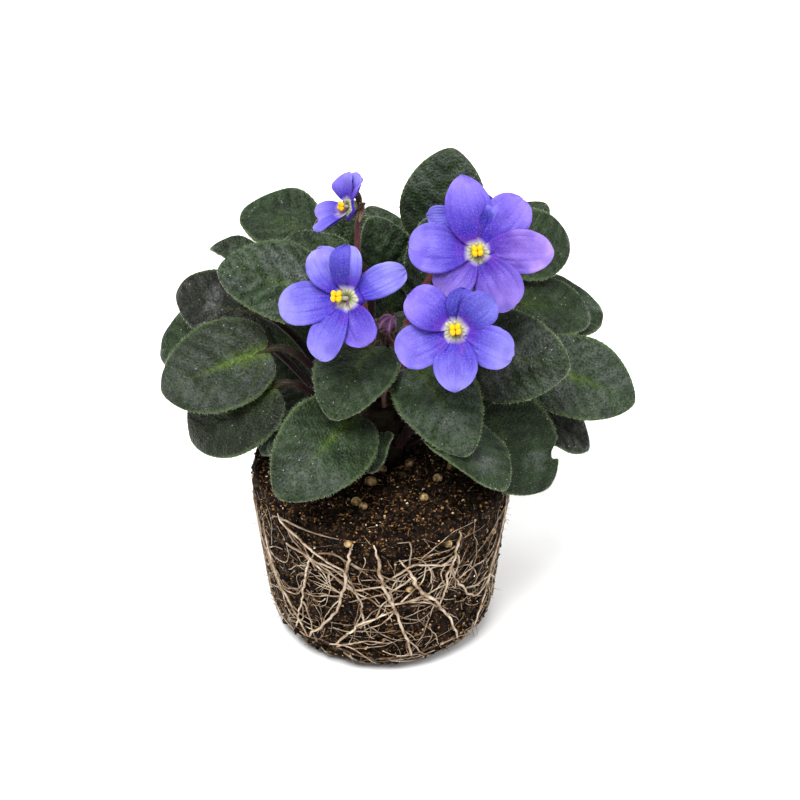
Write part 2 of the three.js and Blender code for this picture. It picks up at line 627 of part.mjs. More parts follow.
addPiece('soil_ball', soilSolid(), COLOURS.soil, 0.95);
addPiece('root_net', rootNetSolid(), COLOURS.root, 0.8);
addPiece('crown_stem', crownSolid(), COLOURS.crown, 0.8);
for (const [name, leaf] of Object.entries(LEAVES)) {
  addPiece(`leaf_${name}`, leafSolid(leaf), COLOURS.leaf, 0.7);
}
for (const [name, bloom] of Object.entries(BLOOMS)) {
  addPiece(`bloom_${name}`, corollaSolid(bloom), COLOURS.petal, 0.6);
  addPiece(`anthers_${name}`, antherSolid(bloom), COLOURS.anther, 0.6);
  addPiece(`pedicel_${name}`, pedicelSolid(bloom), COLOURS.stalk, 0.7);
}
for (const [name, bud] of Object.entries(BUDS)) {
  addPiece(`bud_${name}`, budSolid(bud), COLOURS.stalk, 0.7);
}

export default violet;
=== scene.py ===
"""African violet lifted out of its nursery pot: the fine surfaces of its leaves, blooms, soil and roots.

The tables below are in millimetres, as the part's own dimensions are, and every mesh is scaled to
metres when it is made. +Z is up, -Y is the front, and the origin is the middle of the ball's underside.
"""

import bpy
import numpy as np
from mathutils import Matrix, Vector, noise


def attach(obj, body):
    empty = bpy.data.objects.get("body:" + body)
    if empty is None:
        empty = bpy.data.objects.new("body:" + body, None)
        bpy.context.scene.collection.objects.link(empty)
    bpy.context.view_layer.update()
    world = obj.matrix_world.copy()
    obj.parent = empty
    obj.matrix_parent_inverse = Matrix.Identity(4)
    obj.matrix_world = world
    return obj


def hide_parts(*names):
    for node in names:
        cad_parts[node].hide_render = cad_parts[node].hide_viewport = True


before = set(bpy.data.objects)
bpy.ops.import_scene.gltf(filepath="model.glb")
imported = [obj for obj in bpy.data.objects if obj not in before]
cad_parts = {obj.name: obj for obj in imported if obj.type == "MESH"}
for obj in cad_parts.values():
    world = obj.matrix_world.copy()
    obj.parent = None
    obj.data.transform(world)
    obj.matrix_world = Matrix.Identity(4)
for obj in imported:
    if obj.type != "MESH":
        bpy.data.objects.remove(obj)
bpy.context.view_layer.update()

MM = 0.001
SEED = 7
rng = np.random.default_rng(SEED)

# Dimensions that the part's solids have too

GAP = 0.3
BALL = {"top": 38, "bottom": 32, "height": 54, "foot": 7.4, "shoulder": 3.5, "rise": 1.6}
HOLE = {"radius": 7, "depth": 7}
CROWN = {"radius": 6.5, "top_radius": 6.0, "top": 74}
BLADE = {"rise": 0.45, "fall": 0.65, "lobe": 0.07, "fold": 1.0, "wave": 0.5}
PETIOLE = {"crown_radius": 1.4, "blade_radius": 1.2, "foot": 1.6}
PETAL = {"inner_radius": 1.3, "claw": 0.65, "tip": 0.42}
HUB = {"radius": 2.0, "back": -3.0, "front": 0.3}
PEDICEL = {"radius": 0.85, "calyx": 1.7}

# Each leaf: where petiole meets blade, the tip, the blade's width, its roll about the midrib in
# degrees, how high it arches, and where the petiole leaves the crown (degrees, height, way out).
LEAVES = {
    "front_left": ((-7, -15, 79), (-28, -40, 68), 26, -33, 3.7, (-126, 62)),
    "front_mid": ((-2, -2, 93), (-13, -26, 84), 23, -5, 3.2, (100, 74, 0.5)),
    "front_right": ((10, -8, 90), (24, -33, 77), 23, 18, 4, (-40, 70)),
    "low_mid": ((-1, -11, 68.5), (-2, -23, 64.5), 13, 31, 1.5, (-95, 59)),
    "left_big": ((-32, 4, 88), (-63, 4, 74), 26, -50, 2.4, (171, 66)),
    "left_low": ((-30, -1, 79), (-55, 1, 59), 26.5, -51, 3.3, (-175, 63)),
    "left_up": ((-36.5, 24.5, 88), (-61, 39, 86), 20, -59, 2, (148, 63)),
    "left_far": ((-49, 34, 75), (-67, 40, 65), 20, -35, 2, (160, 60)),
    "left_small": ((-34, 31.5, 101), (-50, 38, 102), 11, -10, 1.5, (153, 68)),
    "left_top": ((-16, 11.5, 101), (-46, 13.5, 109), 25, -32, 1.8, (139, 73)),
    "back_left": ((-22, 46.5, 100.5), (-41, 60.5, 103.5), 24, -14, 2.6, (122, 69)),
    "inner_left": ((-9.5, 24, 107), (-28, 33, 107.5), 9, -20, 1.5, (112, 72)),
    "inner_back_left": ((-8, 35.5, 98.5), (-17, 42.5, 111), 21, -42, 2, (92, 69)),
    "back_mid": ((1, 41, 91), (-2, 60, 104), 22, 30, 2.6, (91, 62)),
    "centre": ((2.5, 28, 86), (-3, 37, 113), 22, 4, 3.7, (70, 72)),
    "back_tall": ((17, 48, 98), (20.5, 54, 126.5), 25.5, 22, 2.9, (71, 66)),
    "back_mid_right": ((14, 33, 89), (13, 34, 114), 19, -25, 2.7, (62, 69)),
    "back_right": ((34, 30, 105), (55, 43, 102), 21, 52, 2.5, (38, 71)),
    "back_right_far": ((34, 36, 98), (48, 55, 108), 17, 0, 2, (52, 64)),
    "right_up": ((37, 21, 93), (61, 30, 84), 22, 27, 1.5, (30, 66)),
    "right_up_far": ((43, 29, 84), (65, 43, 79.5), 25, 22, 1.5, (31, 60)),
    "right_mid": ((27.5, 2.5, 88), (52, -15, 94), 26, 57, 3.8, (5, 70)),
    "right_big": ((43, 7, 81), (72, -2, 74), 25, 37, 3.1, (9, 64)),
    "right_low": ((41, 3, 67), (60, 0, 57), 19, 14, 2.4, (-8, 59)),
    "front_right_low": ((26, -9, 76.5), (48, -14, 53.5), 27, 48, 2.6, (-25, 65)),
    "front_right_under": ((14, -16.5, 78), (34, -36.5, 68), 24, -12, 1.5, (-56, 63)),
    "left_hidden": ((-25, -4, 70), (-34, -9, 61), 14, 0, 2, (-160, 59)),
    "rear_inner_left": ((-14, 14, 66), (-40, 33, 57), 28, -12, 2, (146, 57.6)),
    "rear_left": ((-15, 24, 77.5), (-44, 40, 67.5), 29, -45, 3, (132, 60)),
    "rear_mid_left": ((-10, 41, 85), (-16, 68, 81), 24, 0, 3, (107, 59)),
    "rear_mid": ((6, 28, 74), (5, 60, 68), 24, 0, 4, (82, 58)),
    "rear_right": ((24, 40, 84), (36, 64, 78), 24, 0, 3, (57, 60)),
}

# How a blade's top looks: purple-brown tint, silvery down with its painted sheen and shade, wrinkling,
# and glow of its midrib.
LEAF_LOOKS = {
    "left_big": (0.35, 0.2, 0.35, 0.9),
    "left_low": (0.45, -0.25, 0.3, 0.6),
    "left_up": (0.75, -0.1, 0.6, 0.1),
    "left_small": (0.25, -0.4, 0.8, 0.0),
    "left_top": (0.0, 0.2, 1.0, 0.5),
    "centre": (0.0, -0.4, 1.0, 0.15),
    "front_left": (0.1, 0.0, 0.3, 0.6),
    "front_mid": (0.1, 0.0, 0.3, 0.5),
    "front_right": (0.0, 0.15, 0.4, 0.4),
    "right_mid": (0.3, 0.2, 0.4, 0.8),
    "right_big": (0.1, 0.3, 0.4, 0.9),
    "back_tall": (0.2, 0.25, 0.3, 0.4),
    "front_right_low": (0.1, -0.4, 0.3, 0.1),
    "front_right_under": (0.1, 0.1, 0.3, 0.0),
    "right_low": (0.7, 0.0, 0.3, 0.0),
    "back_left": (0.0, -0.2, 0.7, 0.2),
}
PLAIN_LOOK = (0.15, -0.05, 0.4, 0.3)

# Patches of silvery down with painted highlights: share along the blade, share across, radius in
# millimetres and strength.
SILVER_AND_SHEEN_SPOTS = {
    "left_up": ((0.50, 0.0, 2.6, 1.0), (0.46, -0.35, 2.4, 0.9)),
    "left_small": ((0.5, 0.1, 3.0, 0.8),),
    "left_top": ((0.25, -0.4, 4.0, 0.6), (0.55, -0.5, 4.5, 0.5), (0.15, 0.3, 3.0, 0.5)),
    "left_big": ((0.75, 0.2, 6.0, 0.25),),
    "centre": ((0.75, 0.2, 4.0, 0.4), (0.5, -0.5, 3.0, 0.3)),
    "front_left": ((0.72, 0.1, 7.5, 0.42),),
    "front_right": ((0.7, 0.1, 7.0, 0.35),),
    "front_right_low": ((0.72, 0.25, 5.0, 0.9),),
    "front_right_under": ((0.3, 0.2, 4.5, 0.9), (0.7, 0.1, 5.0, 0.4)),
    "right_mid": ((0.47, 0.1, 2.4, 1.0), (0.35, -0.5, 4.5, 0.7), (0.6, 0.5, 5.0, 0.3)),
    "right_big": ((0.3, -0.3, 5.0, 0.4),),
    "back_mid": ((0.7, 0.0, 4.0, 0.9),),
}

# Where something has bitten the margin: share along the blade, length and depth as shares.
BITES = {"front_right_low": (0.80, 0.055, 0.33)}

# Each bloom: throat centre, facing, size, how far its pollen sacs lean from the middle, the length of
# its straight neck, its petals as (degrees, length, width, lift, layer, tint from -2 indigo, a painted
# shade for petals in shadow, through -1 blue and 0 violet to 1 lilac and, where it is not the usual one,
# the power of the tip), the pedicel's way down, and its place on the crown.
BLOOMS = {
    "left": (
        (-9, -15, 116), (-0.25, -0.82, 0.52), 1, (-2.2, 0), 4,
        ((132, 16, 10.5, 8, 0, -0.7), (94, 14.9, 9, 18, 1, -0.9), (36, 17, 8.8, -6, -1, -1.0),
         (-58, 13.8, 10.5, 6, 0, 0.0), (-108, 18.4, 10.3, 4, 1, -0.6), (195, 20, 12, 5, -1, -0.8, 0.5)),
        ((-7, -4, 110), (-6, 2, 100), (-5, 3, 88)), (160, 74),
    ),
    "right": (
        (26, -10, 127.5), (0, -0.84, 0.54), 1, (0, 0), 4,
        ((102, 21.4, 12.8, 10, 1, -0.1, 0.65), (80, 13.1, 3.6, -8, -2, -1.7), (49, 19, 12.8, 6, 0, 0.05),
         (0, 20.8, 12, 4, -1, 0.9, 0.55), (-59, 17.9, 13.1, 4, 0, 0.4), (-131, 15.1, 11.2, 8, -1, 0.5),
         (175, 18.4, 13.9, 6, 0, -0.3)),
        ((24, 1, 120), (17, 7, 106), (9, 8, 92)), (20, 74),
    ),
    "low": (
        (20, -25, 112), (0, -0.84, 0.54), 1, (0, 0), 4,
        ((141, 15.8, 11.7, 6, 0, -0.1), (75, 11.8, 8.8, 12, -1, -1.8), (40, 13.4, 10.1, 10, 1, -1.6),
         (-25, 16.9, 11.4, 4, 0, -0.7), (-90, 16.5, 12, 5, 1, -0.6, 0.6), (-157, 16.9, 12.2, 4, -1, -0.4)),
        ((17, -13, 107), (11, -4, 99), (6, -2, 88)), (-30, 74),
    ),
    "small": (
        (-9, 13, 129), (-0.8, -0.45, 0.2), 0.8, (0, 0), 1.6,
        ((125, 9.5, 8.5, 4, 0, -0.3), (104, 9.4, 8, -4, -1, -0.5), (90, 8.6, 5.5, -12, 1, 0.3),
         (231, 10.3, 8.2, 51, 0, -0.5), (276, 12.6, 5.5, 57, 1, -0.6)),
        ((-6.5, 15, 122), (-6.5, 14, 112), (-5, 10, 100), (-2, 7, 88)), (110, 74),
    ),
    "hidden": (
        (23, 8, 129), (-0.2, -0.8, 0.55), 0.8, (0, 0), 3,
        ((188, 10.8, 5.5, 10, 0, -1.25), (36, 9.2, 6, 10, 1, -2.0), (95, 8.8, 5, 12, 0, -1.9),
         (-50, 9.5, 7, 10, -1, -1.6), (-115, 9.5, 7, 10, 1, -1.6)),
        ((21, 14, 122), (16, 15, 110), (8, 13, 94)), (65, 74),
    ),
}

# Painted shade on petals beyond a line along their length, by bloom and number: where across, how far out,
# and the darker tint beyond.
FOLD_SHADES = {("left", 1): (0.35, 1.2, -1.85), ("right", 2): (0.72, 0.55, -2.0)}

# Each bud: middle, the way it points, radius, length, its stalk's way down, its place on the crown.
BUDS = {
    "purple": ((2, -6, 103), (0.3, -0.5, 0.8), 2.7, 7, ((3, -2, 94), (3, -3, 86)), (-80, 74)),
    "green": ((7, 3, 95), (0.3, -0.3, 0.9), 1.6, 4.5, ((6, 2, 86),), (-5, 74)),
}

# Slow-release feed grains: place on the soil and radius, then degrees round the wall, height, radius.
GRAINS = ((-3, -15, 1.8), (0, -9, 1.6), (8, -6, 1.4), (16, -13, 1.5), (-7, -24, 1.5), (-5, -26, 1.3),
          (20, -7, 1.3), (12, -22, 1.4), (-21, 9, 1.5), (8, 22, 1.6), (-10, 25, 1.4), (24, 12, 1.5))
WALL_GRAINS = ((-77, 33, 1.2), (-60, 47, 1.3), (-104, 50, 1.2),
               (-30, 41, 1.1), (150, 38, 1.2), (70, 26, 1.2))

# Roots on the front of the ball: the width they start at and their (degrees, height) stations.
FRONT_ROOTS = (
    (1.6, ((-102, 50), (-105, 41), (-109, 29), (-118, 18), (-129, 9))),
    (1.7, ((-93, 50), (-90, 40), (-86, 31), (-81, 21), (-75, 7))),
    (1.7, ((-82, 44), (-74, 35), (-67, 29), (-61, 24), (-49, 8))),
    (1.5, ((-54, 50), (-55, 43), (-57, 36), (-62, 24))),
    (1.3, ((-141, 51), (-132, 48), (-121, 43), (-106, 39))),
    (1.3, ((-121, 43), (-130, 26), (-138, 9))),
    (1.3, ((-116, 8), (-101, 19), (-83, 26))),
    (1.2, ((-88, 36), (-77, 42), (-66, 40), (-56, 38))),
    (1.3, ((-159, 46), (-150, 26), (-141, 18), (-130, 8))),
    (1.4, ((-14, 50), (-24, 30), (-29, 16), (-36, 7))),
    (1.2, ((-57, 36), (-48, 27), (-36, 20), (-26, 22))),
    (1.1, ((-107, 36), (-101, 28), (-100, 18))),
)
SIDE_ROOTS = {"count": 10, "from": 2, "to": 200, "width": 1.4, "top": 49, "foot": 7, "lean": 22}
CROSS_ROOTS = {"count": 8, "width": 1.1, "lowest": 13, "highest": 43, "reach": 34, "rise": 11}
RING_ROOT = {"height": 7, "sway": 1.2, "width": 1.4}
ROOT_SEED = 411

# The view of the photograph, and the lights: where from, width in degrees and strength

VIEW = {"target": (5.3, 0, 73.7), "elevation": 33, "distance": 650, "focal_pixels": 2283, "frame_pixels": 800}
SENSOR = 36
LIGHTS = (
    ("key", (-0.30, -0.50, 1.30), 34, 3.8),
    ("fill", (0.80, -0.55, 1.00), 50, 1.1),
    ("back", (0.10, 0.80, 1.00), 45, 1.3),
)
SKY_STRENGTH = 0.32
FLOOR_WIDTH = 8

# Detail of the leaves

BLADE_ROWS = 66
BLADE_COLUMNS = 39
BLADE_CROWDING = 0.92
BLADE_THICKNESS = 0.9
TEETH = {"pitch": 1.7, "depth": 0.008}
VEIN = {"spacing": 5.2, "width": 0.5}
# Heights of the relief on top and of the ridges below, and lengths of the uneven fields.
RELIEF = {"pucker": 0.10, "wrinkle": 0.5, "vein": 0.16, "rib": 0.5, "sway": 0.35}
RIDGES = {"vein": 0.3, "rib": 0.8}
FIELDS = {"pucker": 3.2, "sway": 13, "down": 10, "fine_down": 2.6}
GLOW = {"wide": 0.55, "narrow": 0.45, "vein": 0.18}
PETIOLE_STEPS = 26
PETIOLE_SIDES = 10
PETIOLE_PULL = 0.35
PETIOLE_FLATNESS = 0.9
LEAF_HAIRS = {"margin": 420, "top": 260, "petiole": 150}
HAIR_LENGTHS = {"margin": (0.35, 0.95), "top": (0.3, 0.7), "stalk": (0.4, 0.9), "bud": (0.3, 0.6)}
LEAF_HAIR = 0.028
STALK_HAIR = 0.035
# Where a hair's three corners lie round it, in radians.
HAIR_CORNERS = (0, 2.094, 4.189)

# The petiole's end under the midrib: share along the blade, depth below it and radius.
PETIOLE_END = ((0.04, 0.75, 1.1), (0.09, 0.9, 0.95), (0.18, 0.85, 0.75), (0.3, 0.65, 0.4))

# Detail of the blooms and buds

PETAL_ROWS = 34
PETAL_COLUMNS = 29
PETAL_THICKNESS = 0.45
PETAL_REACH = 20
PETAL_RIBS = 22
PETAL_RELIEF = {"ripple": 0.35, "frill": 0.35, "rib": 0.09, "crease": 0.25, "layer": 0.5}
THROAT_REACH = 4
THROAT_SIDES = 60
THROAT_RIBS = 15
STYLE = ((0.1, -0.2, 0.0), (0.7, -0.9, 1.3), (1.1, -1.5, 2.6), (1.3, -1.7, 3.6))
STYLE_RADII = (0.2,) * 12 + (0.26, 0.3)
STUB = {"foot": 0.7, "height": 2, "radii": (0.7, 0.5), "sides": 10, "bend": (0, 0, 0.2, 0.5, 0.8, 1.0)}
SACS = ((-0.75, -0.55), (0.8, -0.35), (-0.85, 0.75), (0.6, 0.95))
SAC = {"height": 2.2, "tilt": 18, "radii": (0.80, 0.80, 0.98)}
PEDICEL_STEPS = 44
PEDICEL_SIDES = 12
PEDICEL_HAIRS = 260
SEPAL = {"count": 5, "steps": 12, "sides": 8, "hairs": 24, "start": 0.8, "length": 4.4}
BUD_ROWS = 26
BUD_SIDES = 40
BUD_HAIRS = 70
BUD_SEPAL = {"steps": 10, "sides": 8, "length": 0.62, "width": 0.3}
BUD_STALK = {"steps": 34, "sides": 10, "hairs": 110, "slimming": 0.8}

# (Radius, height) round the throat, and a bud's (share along, share of its radius).
THROAT = ((0.25, -0.3), (0.7, 0.0), (1.2, 0.38), (1.8, 0.62), (2.3, 0.66), (2.6, 0.45), (3.6, 0.25),
          (4.6, 0.1), (4.0, -0.3))
BUD_SWELL = ((0, 0.35), (0.1, 0.7), (0.3, 1.0), (0.5, 0.97), (0.7, 0.8), (0.88, 0.45), (1, 0.06))

# Detail of the crown, soil and roots

CROWN_ROWS = 44
CROWN_SIDES = 48
CROWN_SCARS = 0.35
SOIL_SIDES = 260
SOIL_ROWS = {"under": 22, "foot": 14, "wall": 74, "top": 52}
SOIL_LUMPS = {"coarse": 7.0, "fine": 2.2}
DENTS = (-0.35, 2.2)
BURIED = {"wall": 0.9, "top": 0.7}
BEAD_RINGS = 10
BEAD_SIDES = 14
BEAD_BUMP = 0.05
GRAIN_HEIGHT = 0.85
LOWEST = 0.05
FIBRES = {"wall": 260, "top": 300}
FIBRE_TONES = ((0.30, 0.17, 0.06), (0.45, 0.31, 0.15), (0.16, 0.09, 0.04))
MM_PER_DEGREE = 0.6
NET = {"steps": 46, "sides": 9, "slimming": 0.72, "taper": 0.35, "brown": (0.1, 0.6), "sink": 0.35}
RING = {"steps": 190, "sides": 8, "slimming": 0.5, "brown": 2.5, "sink": 0.7, "turn": 370}
RING_PARTS = ((0, 60), (52, 118), (110, 190))
BRANCH = {"per_step": 0.12, "widths": (0.35, 0.7), "lengths": (8, 24), "turns": (0.3, 1.1), "sides": 5}
THREAD = {"count": 250, "widths": (0.16, 0.40), "lengths": (8, 26), "lowest": 3, "range": 44}
STRAY = {"count": 420, "highest": 46, "lengths": (0.8, 2.4), "radii": (0.11, 0.05), "steps": 6, "sides": 4}

# Crumbs: how many, then each kind's share, colour, size and flatness, and the form that all start from.
CRUMBS = {"wall": 3300, "top": 2500}
CRUMB_KINDS = (
    (0.34, (0.014, 0.009, 0.006), (0.4, 1.5), 0.7),
    (0.22, (0.070, 0.040, 0.021), (0.3, 1.3), 0.5),
    (0.24, (0.380, 0.210, 0.085), (0.22, 0.60), 0.4),
    (0.17, (0.620, 0.450, 0.260), (0.18, 0.50), 0.5),
    (0.03, (0.780, 0.740, 0.660), (0.18, 0.45), 0.8),
)
CRUMB_CORNERS = ((0, 0, 1), (0.9, 0, 0.3), (0.25, 0.85, 0.35), (-0.75, 0.5, 0.2), (-0.7, -0.55, 0.3),
                 (0.3, -0.85, 0.25), (0.75, 0.55, -0.45), (-0.3, 0.9, -0.4), (-0.9, 0.0, -0.45),
                 (-0.25, -0.85, -0.4), (0.75, -0.5, -0.45), (0, 0, -1))
CRUMB_FACES = ((0, 1, 2), (0, 2, 3), (0, 3, 4), (0, 4, 5), (0, 5, 1), (1, 6, 2), (2, 6, 7), (2, 7, 3),
               (3, 7, 8), (3, 8, 4), (4, 8, 9), (4, 9, 5), (5, 9, 10), (5, 10, 1), (1, 10, 6),
               (11, 7, 6), (11, 8, 7), (11, 9, 8), (11, 10, 9), (11, 6, 10))


# Small tools

def radians(degrees):
    return degrees * np.pi / 180


def unit(vector):
    vector = np.asarray(vector, float)
    return vector / np.linalg.norm(vector, axis=-1, keepdims=True)


def smooth(low, high, value):
    """0 below low, 1 above high, and an even S between."""
    share = np.clip((value - low) / (high - low), 0, 1)
    return share * share * (3 - 2 * share)


def full_turn(sides):
    return np.linspace(0, 2 * np.pi, sides, endpoint=False)


def crowded(count):
    """Shares from 0 to 1, closer together at both ends."""
    return 0.5 - 0.5 * np.cos(np.pi * np.linspace(0, 1, count))


def outline(u, rise, fall):
    """Half the width along a blade or petal, 1 at its widest, from the powers at its two ends."""
    widest = rise / (rise + fall)
    return u ** rise * (1 - u) ** fall / (widest ** rise * (1 - widest) ** fall)


def around(degrees, radius, z):
    """A point at that angle and radius round the ball's axis."""
    angle = radians(np.asarray(degrees, float))
    return np.stack(np.broadcast_arrays(radius * np.cos(angle), radius * np.sin(angle), z), axis=-1)


def ripples(x, y, wavelength, seed, waves=6):
    """An uneven field, about -1 to 1, made of a few sine waves with seeded directions."""
    draws = np.random.default_rng(seed)
    total = np.zeros(np.broadcast(x, y).shape)
    for _ in range(waves):
        heading = draws.uniform(0, 2 * np.pi)
        pace = 2 * np.pi / (wavelength * draws.uniform(0.6, 1.6))
        phase = draws.uniform(0, 2 * np.pi)
        total += np.sin((x * np.cos(heading) + y * np.sin(heading)) * pace + phase)
    return total / np.sqrt(waves * 2)


def smooth_route(points, count):
    """count points along the centripetal spline through the given ones."""
    points = np.asarray(points, float)
    last = len(points) - 1
    ends = np.vstack([2 * points[0] - points[1], points, 2 * points[-1] - points[-2]])
    route = []
    for share in np.linspace(0, last, count):
        k = min(int(share), last - 1)
        t = share - k
        p0, p1, p2, p3 = ends[k:k + 4]
        d0, d1, d2 = (max(np.linalg.norm(b - a), 1e-6) ** 0.5 for a, b in ((p0, p1), (p1, p2), (p2, p3)))
        m1 = d1 * ((p1 - p0) / d0 - (p2 - p0) / (d0 + d1) + (p2 - p1) / d1)
        m2 = d1 * ((p2 - p1) / d1 - (p3 - p1) / (d1 + d2) + (p3 - p2) / d2)
        bend = (3 * (p2 - p1) - 2 * m1 - m2) * t ** 2 + (2 * (p1 - p2) + m1 + m2) * t ** 3
        route.append(p1 + m1 * t + bend)
    return np.array(route)


def point_values(*columns):
    """Four values a point: the given columns, and zeros for the rest."""
    blanks = [np.zeros(np.shape(columns[0]))] * (4 - len(columns))
    return np.stack([*columns, *blanks], axis=-1)


# Meshes

class Piece:
    """Closed forms gathered into one object: points in millimetres, faces, and four values a point."""

    def __init__(self):
        self.points = []
        self.values = []
        self.faces = []
        self.finishes = []
        self.count = 0

    def add(self, points, faces, values=(0, 0, 0, 0), finish=0):
        """Adds one closed form, turned so that its faces point out. faces is a list of index arrays."""
        points = np.asarray(points, float).reshape(-1, 3)
        triangles = np.vstack([f[:, [0, k, k + 1]] for f in faces for k in range(1, f.shape[1] - 1)])
        a, b, c = (points[triangles[:, k]] for k in range(3))
        inside_out = np.einsum("ij,ij->i", a, np.cross(b, c)).sum() < 0
        for group in faces:
            group = group[:, ::-1] if inside_out else group
            self.faces.extend((group + self.count).tolist())
            self.finishes.extend([finish] * len(group))
        self.points.append(points)
        self.values.append(np.broadcast_to(np.asarray(values, float), (len(points), 4)))
        self.count += len(points)

    def make(self, name, materials, nodes):
        """Makes the object, which rides on the root body and stands for the nodes."""
        mesh = bpy.data.meshes.new(name)
        mesh.from_pydata((np.vstack(self.points) * MM).tolist(), [], self.faces)
        mesh.polygons.foreach_set("material_index", self.finishes)
        mesh.polygons.foreach_set("use_smooth", [True] * len(self.faces))
        field = mesh.attributes.new("look", "FLOAT_COLOR", "POINT")
        field.data.foreach_set("color", np.vstack(self.values).astype(np.float32).ravel())
        for material in materials:
            mesh.materials.append(material)
        mesh.update()
        piece = bpy.data.objects.new(name, mesh)
        bpy.context.scene.collection.objects.link(piece)
        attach(piece, "root")
        if nodes:
            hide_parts(*nodes)


def grid_faces(rows, columns, closed=False):
    """Quads of a grid of points; closed joins the last column to the first."""
    across = columns if closed else columns - 1
    i, j = np.meshgrid(np.arange(rows - 1), np.arange(across), indexing="ij")
    i, j = i.ravel(), j.ravel()
    beside = (j + 1) % columns
    below = (i + 1) * columns
    return np.stack([i * columns + j, i * columns + beside, below + beside, below + j], axis=1)


def fan_faces(centre, ring):
    """Triangles from one point to a closed ring of points."""
    ring = np.asarray(ring)
    return np.stack([np.full(len(ring), centre), ring, np.roll(ring, -1)], axis=1)


def closed_faces(rows, sides):
    """Faces of rows of closed rings, and of a fan to each of the two points that follow the rings."""
    ring = np.arange(sides)
    caps = rows * sides
    return [grid_faces(rows, sides, closed=True), fan_faces(caps, ring[::-1]),
            fan_faces(caps + 1, caps - sides + ring)]


def tube_skin(route, sides, flat=1.0):
    """The ways from each point of a route to the skin round it."""
    tangents = unit(np.gradient(route, axis=0))
    side = np.cross((0, 0, 1) if abs(tangents[0][2]) < 0.9 else (0, 1, 0), tangents[0])
    angles = full_turn(sides)
    skin = []
    for tangent in tangents:
        side = unit(side - tangent * side.dot(tangent))
        other = np.cross(tangent, side) * flat
        skin.append(np.outer(np.cos(angles), side) + np.outer(np.sin(angles), other))
    return np.array(skin)


def add_tube(piece, route, radii, sides, values=(0, 0, 0, 0), finish=0, flat=1.0):
    """A closed tube along a route; flat below 1 makes it an oval lying on its first side."""
    route = np.asarray(route, float)
    radii = np.broadcast_to(radii, len(route))
    rings = route[:, None] + radii[:, None, None] * tube_skin(route, sides, flat)
    points = np.vstack([rings.reshape(-1, 3), route[0], route[-1]])
    if np.ndim(values) == 2 and len(values) == len(route):
        values = np.vstack([np.repeat(values, sides, axis=0), values[0], values[-1]])
    piece.add(points, closed_faces(len(route), sides), values, finish)


def add_sheet(piece, top, under, values, finish_under=0):
    """A closed leaf or petal from the grids of its two faces, whose first and last rows are points."""
    rows, columns, _ = top.shape
    offset = rows * columns
    up = grid_faces(rows, columns)
    down = up[:, ::-1] + offset
    i = np.arange(rows - 1) * columns
    left = np.stack([i, i + columns, i + columns + offset, i + offset], axis=1)
    i = i + columns - 1
    right = np.stack([i, i + offset, i + columns + offset, i + columns], axis=1)
    points = np.vstack([top.reshape(-1, 3), under.reshape(-1, 3)])
    values = np.vstack([values.reshape(-1, 4)] * 2)
    first = len(piece.finishes) + len(up)
    piece.add(points, [up, down, left, right], values)
    piece.finishes[first:first + len(down)] = [finish_under] * len(down)


def add_hairs(piece, roots, ways, lengths, width, finish):
    """Fine closed spikes with three sides, each from its root along its way."""
    roots = np.asarray(roots, float)
    ways = unit(ways)
    side = unit(np.cross(ways, (0.31, 0.52, 0.79)))
    other = np.cross(ways, side)
    corners = [roots + width * (np.cos(a) * side + np.sin(a) * other) for a in HAIR_CORNERS]
    tips = roots + ways * np.reshape(lengths, (-1, 1))
    points = np.stack([*corners, tips], axis=1)
    base = np.arange(len(roots))[:, None] * 4
    faces = np.vstack([base + f for f in ((0, 2, 1), (0, 1, 3), (1, 2, 3), (2, 0, 3))])
    piece.add(points, [faces], finish=finish)


def add_stalk_hairs(piece, draws, line, radii, count, finish,
                    skip=(1, 2), depth=0.8, lean=0.0, width=STALK_HAIR):
    """Short hairs all round a stalk; skip says how many of its steps are left bare at either end."""
    pick = draws.integers(skip[0], len(line) - skip[1], count)
    share = draws.random((count, 1))
    tangent = unit(line[pick + 1] - line[pick])
    ways = draws.normal(0, 1, (count, 3))
    ways = unit(ways - tangent * np.sum(ways * tangent, axis=1, keepdims=True))
    roots = line[pick] * (1 - share) + line[pick + 1] * share + ways * (radii[pick] * depth)[:, None]
    lengths = draws.uniform(*HAIR_LENGTHS["stalk"], count)
    add_hairs(piece, roots, ways + lean * tangent, lengths, width, finish)


def add_bead(piece, centre, radii, seed, axes=((1, 0, 0), (0, 1, 0), (0, 0, 1)), finish=0):
    """An ellipsoid with the given radii along three axes, with an uneven skin."""
    polar = np.linspace(0, np.pi, BEAD_RINGS + 1)[1:-1]
    p, t = np.meshgrid(polar, full_turn(BEAD_SIDES), indexing="ij")
    girth = np.sin(p) * (1 + BEAD_BUMP * ripples(p * 3, t * 3, 2.5, seed) * np.sin(p))
    skin = np.stack([girth * np.cos(t), girth * np.sin(t), np.cos(p)], axis=-1).reshape(-1, 3)
    local = np.vstack([skin, (0, 0, 1), (0, 0, -1)]) * radii
    points = np.asarray(centre, float) + local @ np.asarray(axes, float)
    piece.add(points, closed_faces(BEAD_RINGS - 1, BEAD_SIDES), finish=finish)


# Materials

